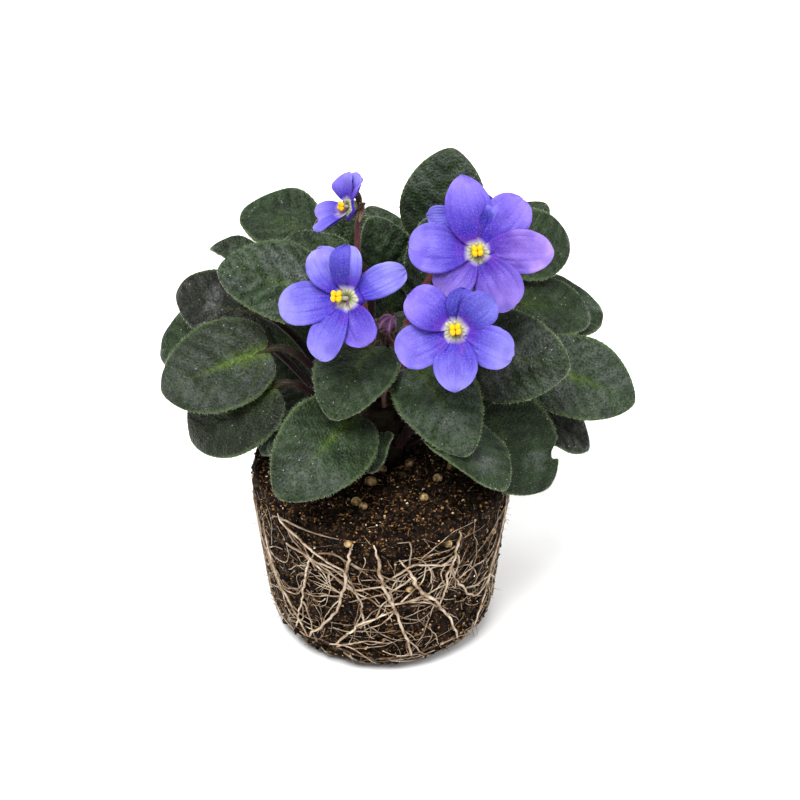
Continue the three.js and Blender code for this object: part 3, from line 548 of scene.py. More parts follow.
class Finish:
    """A material in the making, with short calls for the nodes that the finishes use."""

    def __init__(self, name, roughness, specular, sheen=0.0, sheen_tint=(1, 1, 1), sheen_roughness=0.5):
        self.material = bpy.data.materials.new(name)
        self.material.use_nodes = True
        self.tree = self.material.node_tree
        self.surface = self.tree.nodes["Principled BSDF"]
        settings = {"Roughness": roughness, "Specular IOR Level": specular, "Sheen Weight": sheen,
                    "Sheen Tint": sheen_tint, "Sheen Roughness": sheen_roughness}
        for socket, value in settings.items():
            self.put(self.surface.inputs[socket], value)
        self.place = self.node("TexCoord").outputs["Object"]
        self.look = self.node("Attribute")
        self.look.attribute_name = "look"
        split = self.node("SeparateColor")
        self.put(split.inputs["Color"], self.look.outputs["Color"])
        self.values = [*split.outputs, self.look.outputs["Alpha"]]

    def node(self, kind):
        return self.tree.nodes.new("ShaderNode" + kind)

    def put(self, socket, value):
        """Links a value to a socket, or sets it where it is a number or colour."""
        if isinstance(value, bpy.types.NodeSocket):
            self.tree.links.new(value, socket)
        elif isinstance(value, tuple):
            socket.default_value = (*value, 1)
        else:
            socket.default_value = value

    def fill(self, node, inputs, output):
        """Links or sets a node's inputs by name or number, and gives one of its outputs."""
        for socket, value in inputs.items():
            self.put(node.inputs[socket], value)
        return node.outputs[output]

    def noise(self, size, detail=3, roughness=0.55):
        """Noise whose features are about that many millimetres across."""
        inputs = {"Vector": self.place, "Scale": 1 / (size * MM), "Detail": detail, "Roughness": roughness}
        return self.fill(self.node("TexNoise"), inputs, "Fac")

    def cells(self, size):
        """Distances in a net of cells about that many millimetres across."""
        inputs = {"Vector": self.place, "Scale": 1 / (size * MM)}
        return self.fill(self.node("TexVoronoi"), inputs, "Distance")

    def span(self, value, low, high, to_low=0.0, to_high=1.0):
        """Maps low to to_low and high to to_high, with the value held between."""
        inputs = {"Value": value, "From Min": low, "From Max": high, "To Min": to_low, "To Max": to_high}
        return self.fill(self.node("MapRange"), inputs, "Result")

    def math(self, operation, a, b=0.0):
        node = self.node("Math")
        node.operation = operation
        return self.fill(node, {0: a, 1: b}, "Value")

    def times(self, a, b):
        return self.math("MULTIPLY", a, b)

    def mix(self, a, b, share):
        """Goes from colour a to colour b by a share."""
        node = self.node("Mix")
        node.data_type = "RGBA"
        return self.fill(node, {"Factor": share, 6: a, 7: b}, 2)

    def layer(self, colour, *coats):
        """Lays coats over a colour, each given as its own colour and its share."""
        for coat, share in coats:
            colour = self.mix(colour, coat, share)
        return colour

    def bump(self, height, depth, strength=1.0, under=None):
        """Relief of a depth in millimetres, on top of another relief where one is given."""
        inputs = {"Strength": strength, "Distance": depth * MM, "Height": height}
        if under is not None:
            inputs["Normal"] = under
        return self.fill(self.node("Bump"), inputs, "Normal")

    def done(self, colour, normal=None, roughness=None):
        self.put(self.surface.inputs["Base Color"], colour)
        if normal is not None:
            self.put(self.surface.inputs["Normal"], normal)
        if roughness is not None:
            self.put(self.surface.inputs["Roughness"], roughness)
        return self.material


def leaf_top_finish():
    """Dark green velvet, purple-brown in parts, with silvery down and painted sheen. Values: midrib, margin,
    purple, down.
    """
    f = Finish("leaf_top", 0.5, 0.22, 0.05, (0.8, 0.9, 0.8), 0.35)
    rib, margin, purple, silver_and_sheen = f.values
    patches = f.noise(6, 4, 0.6)
    grain = f.noise(0.45, 4, 0.7)
    pits = f.cells(0.8)
    # Cells for the painted sheen on hair tips.
    hair_sheen_dots = f.cells(0.62)
    rough = f.noise(1.0, 3, 0.7)
    # Silvery down: partly the leaf's real pale hairs, partly painted sheen and highlights.
    down = f.times(f.span(silver_and_sheen, 0.0, 1.0), f.span(grain, 0.38, 0.62, 0.3, 1.0))
    # Painted glints of hairs, in scattered specks.
    specks = f.times(f.span(f.cells(1.9), 0.12, 0.05), f.span(f.noise(7, 2), 0.48, 0.58))
    green = f.layer(
        f.mix((0.010, 0.022, 0.006), (0.028, 0.054, 0.018), f.span(patches, 0.35, 0.65)),
        ((0.022, 0.017, 0.018), purple),
        # Painted shade where the down-and-sheen value is below zero; painted sheen and highlights where it is
        # above.
        ((0.003, 0.007, 0.002), f.span(silver_and_sheen, 0.0, -1.0)),
        ((0.160, 0.172, 0.168), f.times(down, 0.8)),
        ((0.075, 0.110, 0.042), f.times(margin, f.span(patches, 0.2, 0.6, 0.4, 1.0))),
        ((0.120, 0.190, 0.028), rib),
        # Painted shade in the hollows of the pit and rough bumps.
        ((0.002, 0.004, 0.001), f.span(pits, 0.38, 0.08, 0.0, 0.8)),
        ((0.003, 0.006, 0.002), f.span(rough, 0.50, 0.36, 0.0, 0.5)),
        # Painted sheen on hair tips as pale dots, and painted glints of hairs as the brighter specks.
        ((0.180, 0.200, 0.170), f.span(hair_sheen_dots, 0.26, 0.04, 0.0, 0.42)),
        ((0.380, 0.410, 0.380), f.times(specks, 0.8)))
    normal = f.bump(rough, 0.35, 1.0, f.bump(pits, 0.3))
    shine = f.span(f.noise(1.6, 3), 0.3, 0.7, 0.34, 0.6)
    return f.done(green, normal, f.math("SUBTRACT", shine, f.times(purple, 0.12)))


def leaf_under_finish():
    """Paler underside with raised veins. Values as on the top."""
    f = Finish("leaf_underside", 0.6, 0.2, 0.08, (0.9, 0.9, 0.8), 0.4)
    colour = f.mix((0.065, 0.095, 0.038), (0.100, 0.092, 0.052), f.span(f.noise(4, 3), 0.35, 0.65))
    colour = f.mix(colour, (0.120, 0.050, 0.046), f.times(f.values[2], 0.5))
    return f.done(colour, f.bump(f.noise(0.5, 4), 0.12, 0.8))


def petiole_finish():
    """Hairy stalk from red-brown at the crown to green at the blade, both darkened as painted shade. Value:
    way along.
    """
    f = Finish("petiole", 0.5, 0.22, 0.05, (1.0, 0.8, 0.75), 0.4)
    streaks = f.noise(1.4, 4, 0.6)
    # Both colours are kept far darker than the stalk's own, as painted shade from the blades above.
    colour = f.mix((0.016, 0.006, 0.005), (0.042, 0.042, 0.014), f.span(f.values[0], 0.6, 1.0))
    colour = f.mix(colour, (0.006, 0.003, 0.003), f.span(streaks, 0.45, 0.7, 0.0, 0.7))
    return f.done(colour, f.bump(streaks, 0.15, 0.7))


def hair_finish():
    f = Finish("hairs", 0.5, 0.25)
    return f.done(f.mix((0.240, 0.270, 0.190), (0.560, 0.590, 0.500), f.noise(2)))


def petal_finish():
    """Violet-blue petals. Values: way out as a share of a full bloom's, across 0 to 1, tint, way along."""
    f = Finish("petal", 0.5, 0.2, 0.06, (0.75, 0.72, 1.0), 0.35)
    out, across, tint, along = f.values
    mottle = f.noise(1.8, 4, 0.65)
    broad = f.noise(7, 2, 0.5)
    fine = f.noise(0.35, 3, 0.7)
    # Each colour darkens towards the throat: partly the petal's own deeper colour, partly painted shade where
    # the petals meet.
    violet = f.mix((0.034, 0.014, 0.280), (0.188, 0.132, 0.540), f.span(along, 0.24, 0.95))
    lilac = f.mix((0.080, 0.026, 0.300), (0.375, 0.255, 0.600), f.span(along, 0.20, 0.95))
    blue = f.mix((0.044, 0.028, 0.370), (0.262, 0.252, 0.610), f.span(along, 0.24, 0.95))
    # Painted shade: tints from -1 to -2 darken a petal to indigo where it lies in shadow.
    shaded_indigo = f.mix((0.012, 0.007, 0.150), (0.034, 0.027, 0.310), f.span(along, 0.1, 0.9))
    waver = f.math("ADD", across, f.span(mottle, 0.3, 0.7, -0.016, 0.016))
    ripple = f.math("COSINE", f.times(f.math("ABSOLUTE", f.math("SUBTRACT", waver, 0.5)), 34.0))
    lines = f.times(f.span(ripple, 0.88, 1.0), f.span(along, 0.9, 0.2, 0.05, 0.6))
    flush = f.times(f.span(along, 0.42, 0.2), f.span(f.noise(4, 2), 0.48, 0.6))
    colour = f.layer(
        violet,
        (lilac, f.span(tint, 0.0, 1.0)),
        (blue, f.span(tint, 0.0, -1.0)),
        (shaded_indigo, f.span(tint, -1.0, -2.0)),
        ((0.035, 0.014, 0.260), lines),
        ((0.045, 0.020, 0.310), f.span(broad, 0.55, 0.35, 0.0, 0.4)),
        # Painted sparkle: pale specks for the glints of the petal's cells.
        ((0.400, 0.350, 0.700), f.span(fine, 0.5, 0.75, 0.0, 0.3)),
        ((0.150, 0.032, 0.310), f.times(flush, 0.35)))
    off_middle = f.math("ABSOLUTE", f.math("SUBTRACT", across, 0.5))
    star = f.math("ADD", out, f.span(off_middle, 0.0, 0.4, 0.012, -0.012))
    colour = f.mix((0.430, 0.370, 0.480), colour, f.span(star, 0.120, 0.195))
    colour = f.mix((0.270, 0.280, 0.150), colour, f.span(out, 0.095, 0.150))
    return f.done(colour, f.bump(lines, 0.08, 0.7, f.bump(fine, 0.06, 0.7)))


def throat_finish():
    """Pale green throat with painted shade in the grooves between its ribs, violet at its rim. Values: way
    out, groove.
    """
    f = Finish("throat", 0.5, 0.25)
    out, rib = f.values[:2]
    colour = f.mix((0.150, 0.180, 0.060), (0.400, 0.390, 0.300), f.span(out, 0.25, 0.65))
    # Painted shade in the grooves between the ribs.
    colour = f.mix(colour, (0.120, 0.130, 0.045), f.span(rib, 0.5, 1.0, 0.0, 0.75))
    colour = f.mix(colour, (0.045, 0.020, 0.280), f.span(out, 0.70, 0.82))
    return f.done(colour, f.bump(f.noise(0.4, 3), 0.05))


def pollen_finish():
    """Yellow pollen sacs on a stub that is pale green where the value is high."""
    f = Finish("pollen", 0.6, 0.25)
    grain = f.noise(0.25, 3)
    # Oranger where the grain bump sinks and yellower where it rises: partly the pollen's two tones, partly
    # painted shade and light.
    colour = f.mix((0.660, 0.330, 0.005), (0.800, 0.500, 0.012), f.span(grain, 0.35, 0.65))
    colour = f.mix(colour, (0.330, 0.300, 0.260), f.values[0])
    return f.done(colour, f.bump(grain, 0.08, 0.8))


def style_finish():
    f = Finish("style", 0.45, 0.5)
    return f.done(f.mix((0.130, 0.020, 0.200), (0.250, 0.080, 0.290), f.noise(0.8)))


def stalk_finish():
    """Maroon stalk, greener where the value is high."""
    f = Finish("stalk", 0.4, 0.35, 0.05, (1.0, 0.8, 0.8), 0.4)
    colour = f.mix((0.070, 0.015, 0.020), (0.150, 0.046, 0.048), f.noise(1.5, 3))
    colour = f.mix(colour, (0.092, 0.076, 0.036), f.values[0])
    return f.done(colour, f.bump(f.noise(0.6, 3), 0.08))


def bud_finish():
    """Purple bud, paler along the petals' edges; greener where the value is high."""
    f = Finish("bud", 0.5, 0.3, 0.06, (1.0, 0.85, 0.95), 0.4)
    colour = f.mix((0.024, 0.006, 0.040), (0.150, 0.058, 0.150), f.span(f.noise(2.2, 3), 0.38, 0.66))
    colour = f.mix(colour, (0.420, 0.220, 0.340), f.span(f.values[1], 0.0, 1.0, 0.0, 0.85))
    colour = f.mix(colour, (0.075, 0.095, 0.036), f.values[0])
    return f.done(colour, f.bump(f.noise(0.5, 3), 0.08))


def soil_finish():
    """Damp dark peat with tan specks, darkest where its lumps sink, partly as painted shade."""
    f = Finish("soil", 0.85, 0.12)
    lumps = f.noise(2.2, 6, 0.7)
    flecks = f.noise(0.9, 3, 0.65)
    # Darkest where the lump bump sinks: partly the peat's own dark tone, partly painted shade in the hollows.
    colour = f.mix((0.003, 0.002, 0.002), (0.036, 0.021, 0.012), f.span(lumps, 0.44, 0.64))
    colour = f.mix(colour, (0.260, 0.140, 0.060), f.span(flecks, 0.57, 0.64, 0.0, 0.85))
    normal = f.bump(f.noise(0.5, 4, 0.7), 0.4, 0.9, f.bump(lumps, 1.6))
    return f.done(colour, normal, f.span(lumps, 0.3, 0.7, 0.95, 0.6))


def crumb_finish():
    """Crumbs, bark slivers and perlite: the values hold each one's own colour."""
    f = Finish("crumbs", 0.75, 0.15)
    colour = f.mix(f.look.outputs["Color"], (0.0, 0.0, 0.0), f.span(f.noise(0.6, 3), 0.45, 0.7, 0.0, 0.6))
    return f.done(colour, f.bump(f.noise(0.4, 3), 0.15))


def root_finish():
    """Cream roots, browner where the first value is high; darker at the edges, where the second is, partly
    painted shade.
    """
    f = Finish("root", 0.5, 0.3)
    patches = f.noise(2.6, 5, 0.65)
    colour = f.mix((0.240, 0.150, 0.082), (0.740, 0.630, 0.490), f.span(patches, 0.38, 0.60))
    stain = f.times(f.values[0], f.span(f.noise(1.3, 4), 0.38, 0.60))
    colour = f.mix(colour, (0.080, 0.042, 0.022), stain)
    # Painted shade where the root turns away and meets the soil, with some real browner skin.
    colour = f.mix(colour, (0.070, 0.036, 0.018), f.times(f.values[1], 0.85))
    return f.done(colour, f.bump(f.noise(0.5, 4, 0.6), 0.2, 0.9))


def grain_finish():
    f = Finish("feed_grain", 0.45, 0.3)
    f.surface.inputs["Coat Weight"].default_value = 0.08
    colour = f.mix((0.160, 0.100, 0.040), (0.460, 0.330, 0.160), f.span(f.noise(1.2, 3), 0.35, 0.65))
    # Dark in the sunken dimples: painted shade in their hollows.
    dimples = f.span(f.noise(1.7, 2), 0.54, 0.64)
    colour = f.mix(colour, (0.035, 0.020, 0.008), f.times(dimples, 0.85))
    return f.done(colour, f.bump(f.noise(0.5, 3), 0.1, 1.0, f.bump(dimples, -0.3)))


def crown_finish():
    f = Finish("crown_bark", 0.75, 0.12)
    colour = f.mix((0.012, 0.008, 0.005), (0.036, 0.030, 0.015), f.span(f.noise(2.5, 4), 0.35, 0.65))
    return f.done(colour, f.bump(f.noise(0.9, 4), 0.35))


# Each list of finishes is in the order of the numbers that the faces hold.
LEAF_FINISHES = [leaf_top_finish(), leaf_under_finish(), petiole_finish(), hair_finish()]
UNDERSIDE, PETIOLE_SKIN, HAIR = 1, 2, 3
PETAL_FINISHES = [petal_finish(), throat_finish(), style_finish()]
THROAT_SKIN, STYLE_SKIN = 1, 2
PEDICEL_FINISHES = [stalk_finish(), LEAF_FINISHES[HAIR]]
PEDICEL_HAIR = 1
BUD_FINISHES = [bud_finish(), *PEDICEL_FINISHES]
BUD_STALK_SKIN, BUD_HAIR = 1, 2
SOIL_FINISHES = [soil_finish(), grain_finish()]
GRAIN = 1
POLLEN = pollen_finish()
CRUMB = crumb_finish()
ROOT = root_finish()
CROWN_BARK = crown_finish()


# Places on the ball and the crown

def ball_radius(z):
    wall = BALL["bottom"] + (BALL["top"] - BALL["bottom"]) * z / BALL["height"]
    short = np.clip(BALL["foot"] - z, 0, None)
    return wall - BALL["foot"] + np.sqrt(BALL["foot"] ** 2 - short ** 2)


def crown_radius(z):
    share = np.clip((z - BALL["height"]) / (CROWN["top"] - BALL["height"]), 0, 1)
    return CROWN["radius"] + (CROWN["top_radius"] - CROWN["radius"]) * share


def socket_point(socket):
    """A stalk's first point, beside the crown or on its top."""
    degrees, z, out = (*socket, CROWN["top_radius"] - 1.3)[:3]
    if z < CROWN["top"]:
        return around(degrees, crown_radius(z) + GAP, z)
    return around(degrees, out, CROWN["top"] + GAP)


# Leaves

def blade_outline(u):
    return outline(u, BLADE["rise"], BLADE["fall"])


def blade_frame(base, tip, roll):
    base = np.array(base, float)
    along = np.array(tip, float) - base
    length = np.linalg.norm(along)
    along = along / length
    level = unit(np.cross((0, 0, 1), along))
    across = level * np.cos(radians(roll)) + np.cross(along, level) * np.sin(radians(roll))
    return base, along, across, np.cross(along, across), length


def blade_points(leaf, shape, u, v, lift=0.0, stretch=1.0):
    """Points of the blade's middle surface, raised by lift and with the margin at stretch."""
    _, _, width, _, arch, _ = leaf
    origin, along, across, up, length = shape
    half = blade_outline(u)
    back = BLADE["lobe"] * v ** 2 * np.minimum(half / 0.6, 1) * (1 - u) ** 3
    rise = arch * 4 * u * (1 - u) + BLADE["fold"] * np.abs(v) * np.sin(np.pi * u)
    wave = BLADE["wave"] * v ** 2 * np.sin(np.pi * u) * np.sin(9 * u + 2.5 * v + width)
    sideways = v * half * stretch * width / 2
    return (origin + np.multiply.outer((u - back) * length, along)
            + np.multiply.outer(sideways, across) + np.multiply.outer(rise + wave + lift, up))


def vein_field(x, y, width, side_shift):
    """How much of a side vein there is at x along and y across, both in millimetres."""
    swept = x - 0.5 * np.abs(y) - 1.1 * y ** 2 / width + np.where(y > 0, side_shift, 0.0)
    spacing = VEIN["spacing"]
    away = np.abs((swept / spacing) % 1 - 0.5) * spacing
    return np.exp(-(away / VEIN["width"]) ** 2), np.cos(np.pi * (0.5 - away / spacing)) ** 2


def blade_margin(name, rows, u, v, length, width, draws):
    """How far the margin reaches: its small teeth and, where something has bitten it, the notch."""
    steps = np.hypot(np.diff(rows, prepend=0) * length, np.diff(blade_outline(rows), prepend=0) * width / 2)
    teeth = np.cos(2 * np.pi * np.cumsum(steps) / TEETH["pitch"] + draws.uniform(0, 6))[:, None]
    reach = 1 + (0.006 + TEETH["depth"] * teeth) * np.abs(v) ** 10 * smooth(0, 0.1, u)
    if name in BITES:
        place, size, depth = BITES[name]
        reach = reach * (1 - depth * np.exp(-((u - place) / size) ** 4) * (v > 0))
    return reach


def add_blade(piece, name, leaf, shape, seed, draws):
    """The blade, puckered between its veins, with what its colours need. Returns the grid of its top."""
    width, length = leaf[2], shape[-1]
    purple, silver_and_sheen, wrinkle, glow = LEAF_LOOKS.get(name, PLAIN_LOOK)
    rows = crowded(BLADE_ROWS)
    spread = np.pi / 2 * BLADE_CROWDING
    columns = np.sin(np.linspace(-1, 1, BLADE_COLUMNS) * spread) / np.sin(spread)
    u, v = np.meshgrid(rows, columns, indexing="ij")
    x, y = u * length, v * blade_outline(u) * width / 2
    vein, quilt = vein_field(x, y, width, draws.uniform(1.2, 3.4))
    inner = smooth(0, 0.12, u) * smooth(1, 0.75, u) * smooth(1.0, 0.8, np.abs(v))
    rib = np.exp(-(y / (0.85 - 0.45 * u)) ** 2)
    reach = blade_margin(name, rows, u, v, length, width, draws)

    uneven = 0.8 * quilt + 0.45 * ripples(x, y, FIELDS["pucker"], seed) - 0.6
    relief = inner * ((RELIEF["pucker"] + RELIEF["wrinkle"] * wrinkle) * uneven - RELIEF["vein"] * vein)
    relief = relief - RELIEF["rib"] * rib * smooth(0, 0.08, u) * smooth(1, 0.6, u)
    sway = ripples(x, y, FIELDS["sway"], seed + 50) * smooth(0, 0.2, u) * smooth(1, 0.9, u)
    relief = relief + RELIEF["sway"] * sway
    thick = BLADE_THICKNESS * (0.35 + 0.65 * np.sqrt(np.clip(1 - np.abs(v) ** 5, 0, 1)))
    thick = thick * smooth(-0.04, 0.05, u) * smooth(1.02, 0.93, u)
    keel = RIDGES["vein"] * vein * inner + RIDGES["rib"] * rib * smooth(0, 0.1, u) * smooth(1, 0.5, u)
    top = blade_points(leaf, shape, u, v, relief + thick / 2, reach)
    under = blade_points(leaf, shape, u, v, relief - thick / 2 - keel, reach)
    for row, share in ((0, 0.0), (-1, 1.0)):
        top[row] = under[row] = blade_points(leaf, shape, share, 0.0)

    light = GLOW["wide"] * smooth(0.7, 0.05, u) * np.exp(-(y / (2.4 - 1.6 * u)) ** 2)
    light = light + GLOW["narrow"] * smooth(1.0, 0.25, u) * np.exp(-(y / 0.6) ** 2)
    light = light + GLOW["vein"] * vein * inner * smooth(0.5, 0.1, u)
    margin = smooth(0.90, 1.0, np.abs(v)) * smooth(0.0, 0.1, u) + smooth(0.965, 1.0, u)
    # The silvery down value, which also carries painted sheen: lighter above zero, painted shade below.
    down = silver_and_sheen + 0.20 * ripples(x, y, FIELDS["down"], seed + 7)
    down = down + 0.25 * wrinkle * ripples(x, y, FIELDS["fine_down"], seed + 3)
    # Painted highlight on the puckers between the veins, painted shade in the vein hollows.
    down = down + inner * (0.12 + 0.4 * wrinkle) * (quilt - 0.6)
    # Spots of silvery down and painted highlight, some on the midrib where light catches it.
    for u0, v0, radius, strength in SILVER_AND_SHEEN_SPOTS.get(name, ()):
        x0, y0 = u0 * length, v0 * blade_outline(u0) * width / 2
        down = down + strength * np.exp(-((x - x0) ** 2 + (y - y0) ** 2) / radius ** 2)
    values = point_values(np.clip(glow * light, 0, 1), np.clip(margin, 0, 1),
                          np.full_like(u, purple), np.clip(down, -1, 1))
    add_sheet(piece, top, under, values, UNDERSIDE)
    return top


def add_petiole(piece, leaf, shape, seed):
    """The stalk from the crown to the blade. Returns its line and the radius at each point of it."""
    socket = leaf[-1]
    origin, along, _, up, _ = shape
    seat = socket_point(socket)
    if socket[1] >= CROWN["top"]:
        outward = sideways = np.array((0, 0, 1.0))
    else:
        outward, sideways = unit(around(socket[0], 1, 0.9)), around(socket[0], 1, 0)
    start, end = seat + sideways * PETIOLE["foot"], origin - 0.4 * up
    pull = np.linalg.norm(start - end) * PETIOLE_PULL
    leave, arrive = start + outward * pull, end - along * pull
    t = np.linspace(0, 1, PETIOLE_STEPS)[:, None]
    curve = (1 - t) ** 3 * start + 3 * t * (1 - t) ** 2 * leave + 3 * t ** 2 * (1 - t) * arrive + t ** 3 * end
    below = [blade_points(leaf, shape, u, 0.0) - depth * up for u, depth, _ in PETIOLE_END]
    line = np.vstack([seat, curve, below])
    radii = np.concatenate([[PETIOLE["crown_radius"] * 1.15],
                            np.linspace(PETIOLE["crown_radius"], PETIOLE["blade_radius"], PETIOLE_STEPS),
                            [radius for _, _, radius in PETIOLE_END]])
    radii = radii * (1 + 0.05 * ripples(np.arange(len(line)), 0.0 * radii, 5, seed))
    way_along = point_values(np.linspace(0, 1, len(line)))
    add_tube(piece, line, radii, PETIOLE_SIDES, way_along, PETIOLE_SKIN, PETIOLE_FLATNESS)
    return line, radii


def add_blade_hairs(piece, top, shape, draws):
    """Short pale hairs round the margin and over the blade's top."""
    _, along, _, up, _ = shape
    count = LEAF_HAIRS["margin"]
    rim = np.vstack([top[2:-1, 0], top[1:-1, -1][::-1]])
    inward = np.vstack([top[2:-1, 3], top[1:-1, -4][::-1]])
    pick = draws.integers(0, len(rim) - 1, count)
    share = draws.random((count, 1))
    roots = rim[pick] * (1 - share) + rim[pick + 1] * share
    ways = unit(rim[pick] - inward[pick]) + draws.normal(0, 0.35, (count, 3)) + 0.25 * up
    add_hairs(piece, roots, ways, draws.uniform(*HAIR_LENGTHS["margin"], count), LEAF_HAIR, HAIR)

    count = LEAF_HAIRS["top"]
    i = draws.integers(3, len(top) - 4, count)
    j = draws.integers(2, top.shape[1] - 3, count)
    a, b = draws.random((2, count, 1))
    near = top[i, j] * (1 - b) + top[i, j + 1] * b
    far = top[i + 1, j] * (1 - b) + top[i + 1, j + 1] * b
    roots = near * (1 - a) + far * a - 0.05 * up
    ways = up + 0.5 * along + draws.normal(0, 0.4, (count, 3))
    add_hairs(piece, roots, ways, draws.uniform(*HAIR_LENGTHS["top"], count), LEAF_HAIR, HAIR)


def build_leaf(name, leaf, seed):
    shape = blade_frame(leaf[0], leaf[1], leaf[3])
    draws = np.random.default_rng(SEED * 100 + seed)
    piece = Piece()
    top = add_blade(piece, name, leaf, shape, seed, draws)
    line, radii = add_petiole(piece, leaf, shape, seed)
    add_blade_hairs(piece, top, shape, draws)
    add_stalk_hairs(piece, draws, line, radii, LEAF_HAIRS["petiole"], HAIR, (2, 6), 0.85, 0.3, LEAF_HAIR)
    piece.make(f"fine_leaf_{name}", LEAF_FINISHES, [f"leaf_{name}"])


# Blooms

def bloom_frame(centre, facing):
    out = unit(facing)
    right = unit(np.cross((0, 0, 1), out))
    return np.array(centre, float), right, np.cross(out, right), out


def bloom_points(shape, x, y, h):
    origin, right, up, out = shape
    x, y, h = np.broadcast_arrays(x, y, h)
    return origin + np.multiply.outer(x, right) + np.multiply.outer(y, up) + np.multiply.outer(h, out)


def add_petal(piece, shape, petal, size, seed, fold=None):
    """One petal with its dome, ribs and frill; a fold shade changes the tint beyond a line along it to a
    painted shade.
    """
    degrees, length, width, lift, layer, tint, tip = (*petal, PETAL["tip"])[:7]
    draws = np.random.default_rng(SEED * 1000 + seed)
    u, v = np.meshgrid(crowded(PETAL_ROWS), np.linspace(-1, 1, PETAL_COLUMNS), indexing="ij")
    run = PETAL["inner_radius"] + (length * np.cos(radians(lift)) - PETAL["inner_radius"]) * u
    half = outline(u, PETAL["claw"], tip) * width / 2
    ends = smooth(1, 0.6, u)
    dome = length * (np.sin(radians(lift)) * u + 0.10 * np.sin(np.pi * u) * u - 0.16 * u ** 3)
    relief = PETAL_RELIEF
    ripple = relief["ripple"] * ripples(v * half, run, 6, seed) * smooth(0.1, 0.5, u)
    frill = np.sin(7 * u + draws.uniform(0, 6) + 2 * v) * np.abs(v) ** 3 * smooth(0.3, 0.8, u)
    ribs = relief["rib"] * np.cos(v * PETAL_RIBS) * smooth(0.05, 0.3, u) * ends
    crease = relief["crease"] * np.exp(-(v * half / 0.5) ** 2) * smooth(0, 0.2, u) * ends
    step = layer * relief["layer"] * np.minimum(1, 3 * u)
    height = dome + 0.10 * half * v ** 2 + 0.13 * half * v + step
    height = height + ripple + relief["frill"] * frill + ribs - crease
    across = v * half * (1 + 0.015 * ripples(u * 10, v * 3, 1.6, seed + 9) * np.abs(v) ** 6)
    run = run + 0.25 * ripples(v * 4, u * 0, 1.4, seed + 5) * smooth(0.8, 1.0, u)
    cos, sin = np.cos(radians(degrees)), np.sin(radians(degrees))
    x, y = run * cos - across * sin, run * sin + across * cos
    thick = PETAL_THICKNESS * (0.3 + 0.7 * np.sqrt(np.clip(1 - np.abs(v) ** 6, 0, 1))) * smooth(1.02, 0.9, u)
    top = bloom_points(shape, x, y, height + thick / 2)
    under = bloom_points(shape, x, y, height - thick / 2)
    for face in (top, under):
        face[0] = bloom_points(shape, run[0, 0] * cos, run[0, 0] * sin, 0.0)
        face[-1] = (top[-1].mean(axis=0) + under[-1].mean(axis=0)) / 2
    tints = np.full_like(u, tint)
    # Painted shade: past the line the tint goes to the darker one given.
    if fold:
        place, reach, beyond = fold
        share = smooth(place - 0.04, place + 0.04, (v + 1) / 2) * smooth(reach + 0.15, reach - 0.15, u)
        tints = tint + (beyond - tint) * share
    out = np.hypot(x, y) / (PETAL_REACH * size)
    add_sheet(piece, top, under, point_values(out, (v + 1) / 2, tints, u))


def add_throat(piece, shape, size):
    """The shallow ribbed cup where the petals join, closed behind by the tube of the flower."""
    turn = full_turn(THROAT_SIDES)
    section = (*THROAT, (HUB["radius"], -1.0), (HUB["radius"] * 0.8, HUB["back"] + 0.2), (0.3, HUB["back"]))
    radius, height = np.array(section).T[:, :, None]
    ribs = np.cos(turn * THROAT_RIBS)
    reach = size * radius * (1 + 0.10 * np.cos(turn * 5) * (radius > HUB["radius"]))
    rise = size * (height + 0.07 * ribs * (radius > 0.6) * (height > -0.1))
    rings = bloom_points(shape, reach * np.cos(turn), reach * np.sin(turn), rise)
    ends = [bloom_points(shape, 0, 0, size * z) for z in (-0.35, HUB["back"])]
    # The second value is high in the grooves between the ribs, where the finish paints shade.
    out, line = np.broadcast_arrays(radius / THROAT_REACH, 0.5 - 0.5 * ribs)
    values = np.vstack([point_values(out.ravel(), line.ravel()), (0, 0, 0, 0), (0.5, 0, 0, 0)])
    faces = closed_faces(len(section), THROAT_SIDES)
    piece.add(np.vstack([rings.reshape(-1, 3), *ends]), faces, values, THROAT_SKIN)


def build_anthers(name, shape, size, lean, seed):
    """The pollen sacs on the stub that carries them."""
    piece = Piece()
    base = HUB["front"] + GAP
    bend = np.array(STUB["bend"])
    steps = len(bend)
    heights = np.linspace(base - STUB["foot"], base + STUB["height"] * size, steps)
    stub = bloom_points(shape, lean[0] * bend, lean[1] * bend, heights)
    add_tube(piece, stub, np.linspace(*STUB["radii"], steps) * size, STUB["sides"], (1, 0, 0, 0))
    _, right, up, out = shape
    for k, (x, y) in enumerate(SACS):
        place = bloom_points(shape, lean[0] + x * size, lean[1] + y * size, base + SAC["height"] * size)
        tilt = radians(SAC["tilt"] if x > 0 else -SAC["tilt"])
        long_way = up * np.cos(tilt) + right * np.sin(tilt)
        axes = (np.cross(long_way, out), out, long_way)
        add_bead(piece, place, np.array(SAC["radii"]) * size, seed + k, axes)
    piece.make(f"fine_anthers_{name}", [POLLEN], [f"anthers_{name}"])


def build_bloom(name, bloom, seed):
    centre, facing, size, lean, neck, petals, route, socket = bloom
    shape = bloom_frame(centre, facing)
    piece = Piece()
    for k, petal in enumerate(petals):
        add_petal(piece, shape, petal, size, seed * 10 + k, FOLD_SHADES.get((name, k)))
    add_throat(piece, shape, size)
    style = [bloom_points(shape, *(np.array(point) * size)) for point in STYLE]
    radii = np.array(STYLE_RADII) * size
    add_tube(piece, smooth_route(style, len(radii)), radii, 8, finish=STYLE_SKIN)
    piece.make(f"fine_bloom_{name}", PETAL_FINISHES, [f"bloom_{name}"])
    build_anthers(name, shape, size, lean, seed)
    build_pedicel(name, shape, size, neck, route, socket, seed)


def stalk_route(socket, route, end, count):
    start = socket_point(socket)
    return smooth_route([start, start + (0, 0, 4), *route[::-1], *end], count)


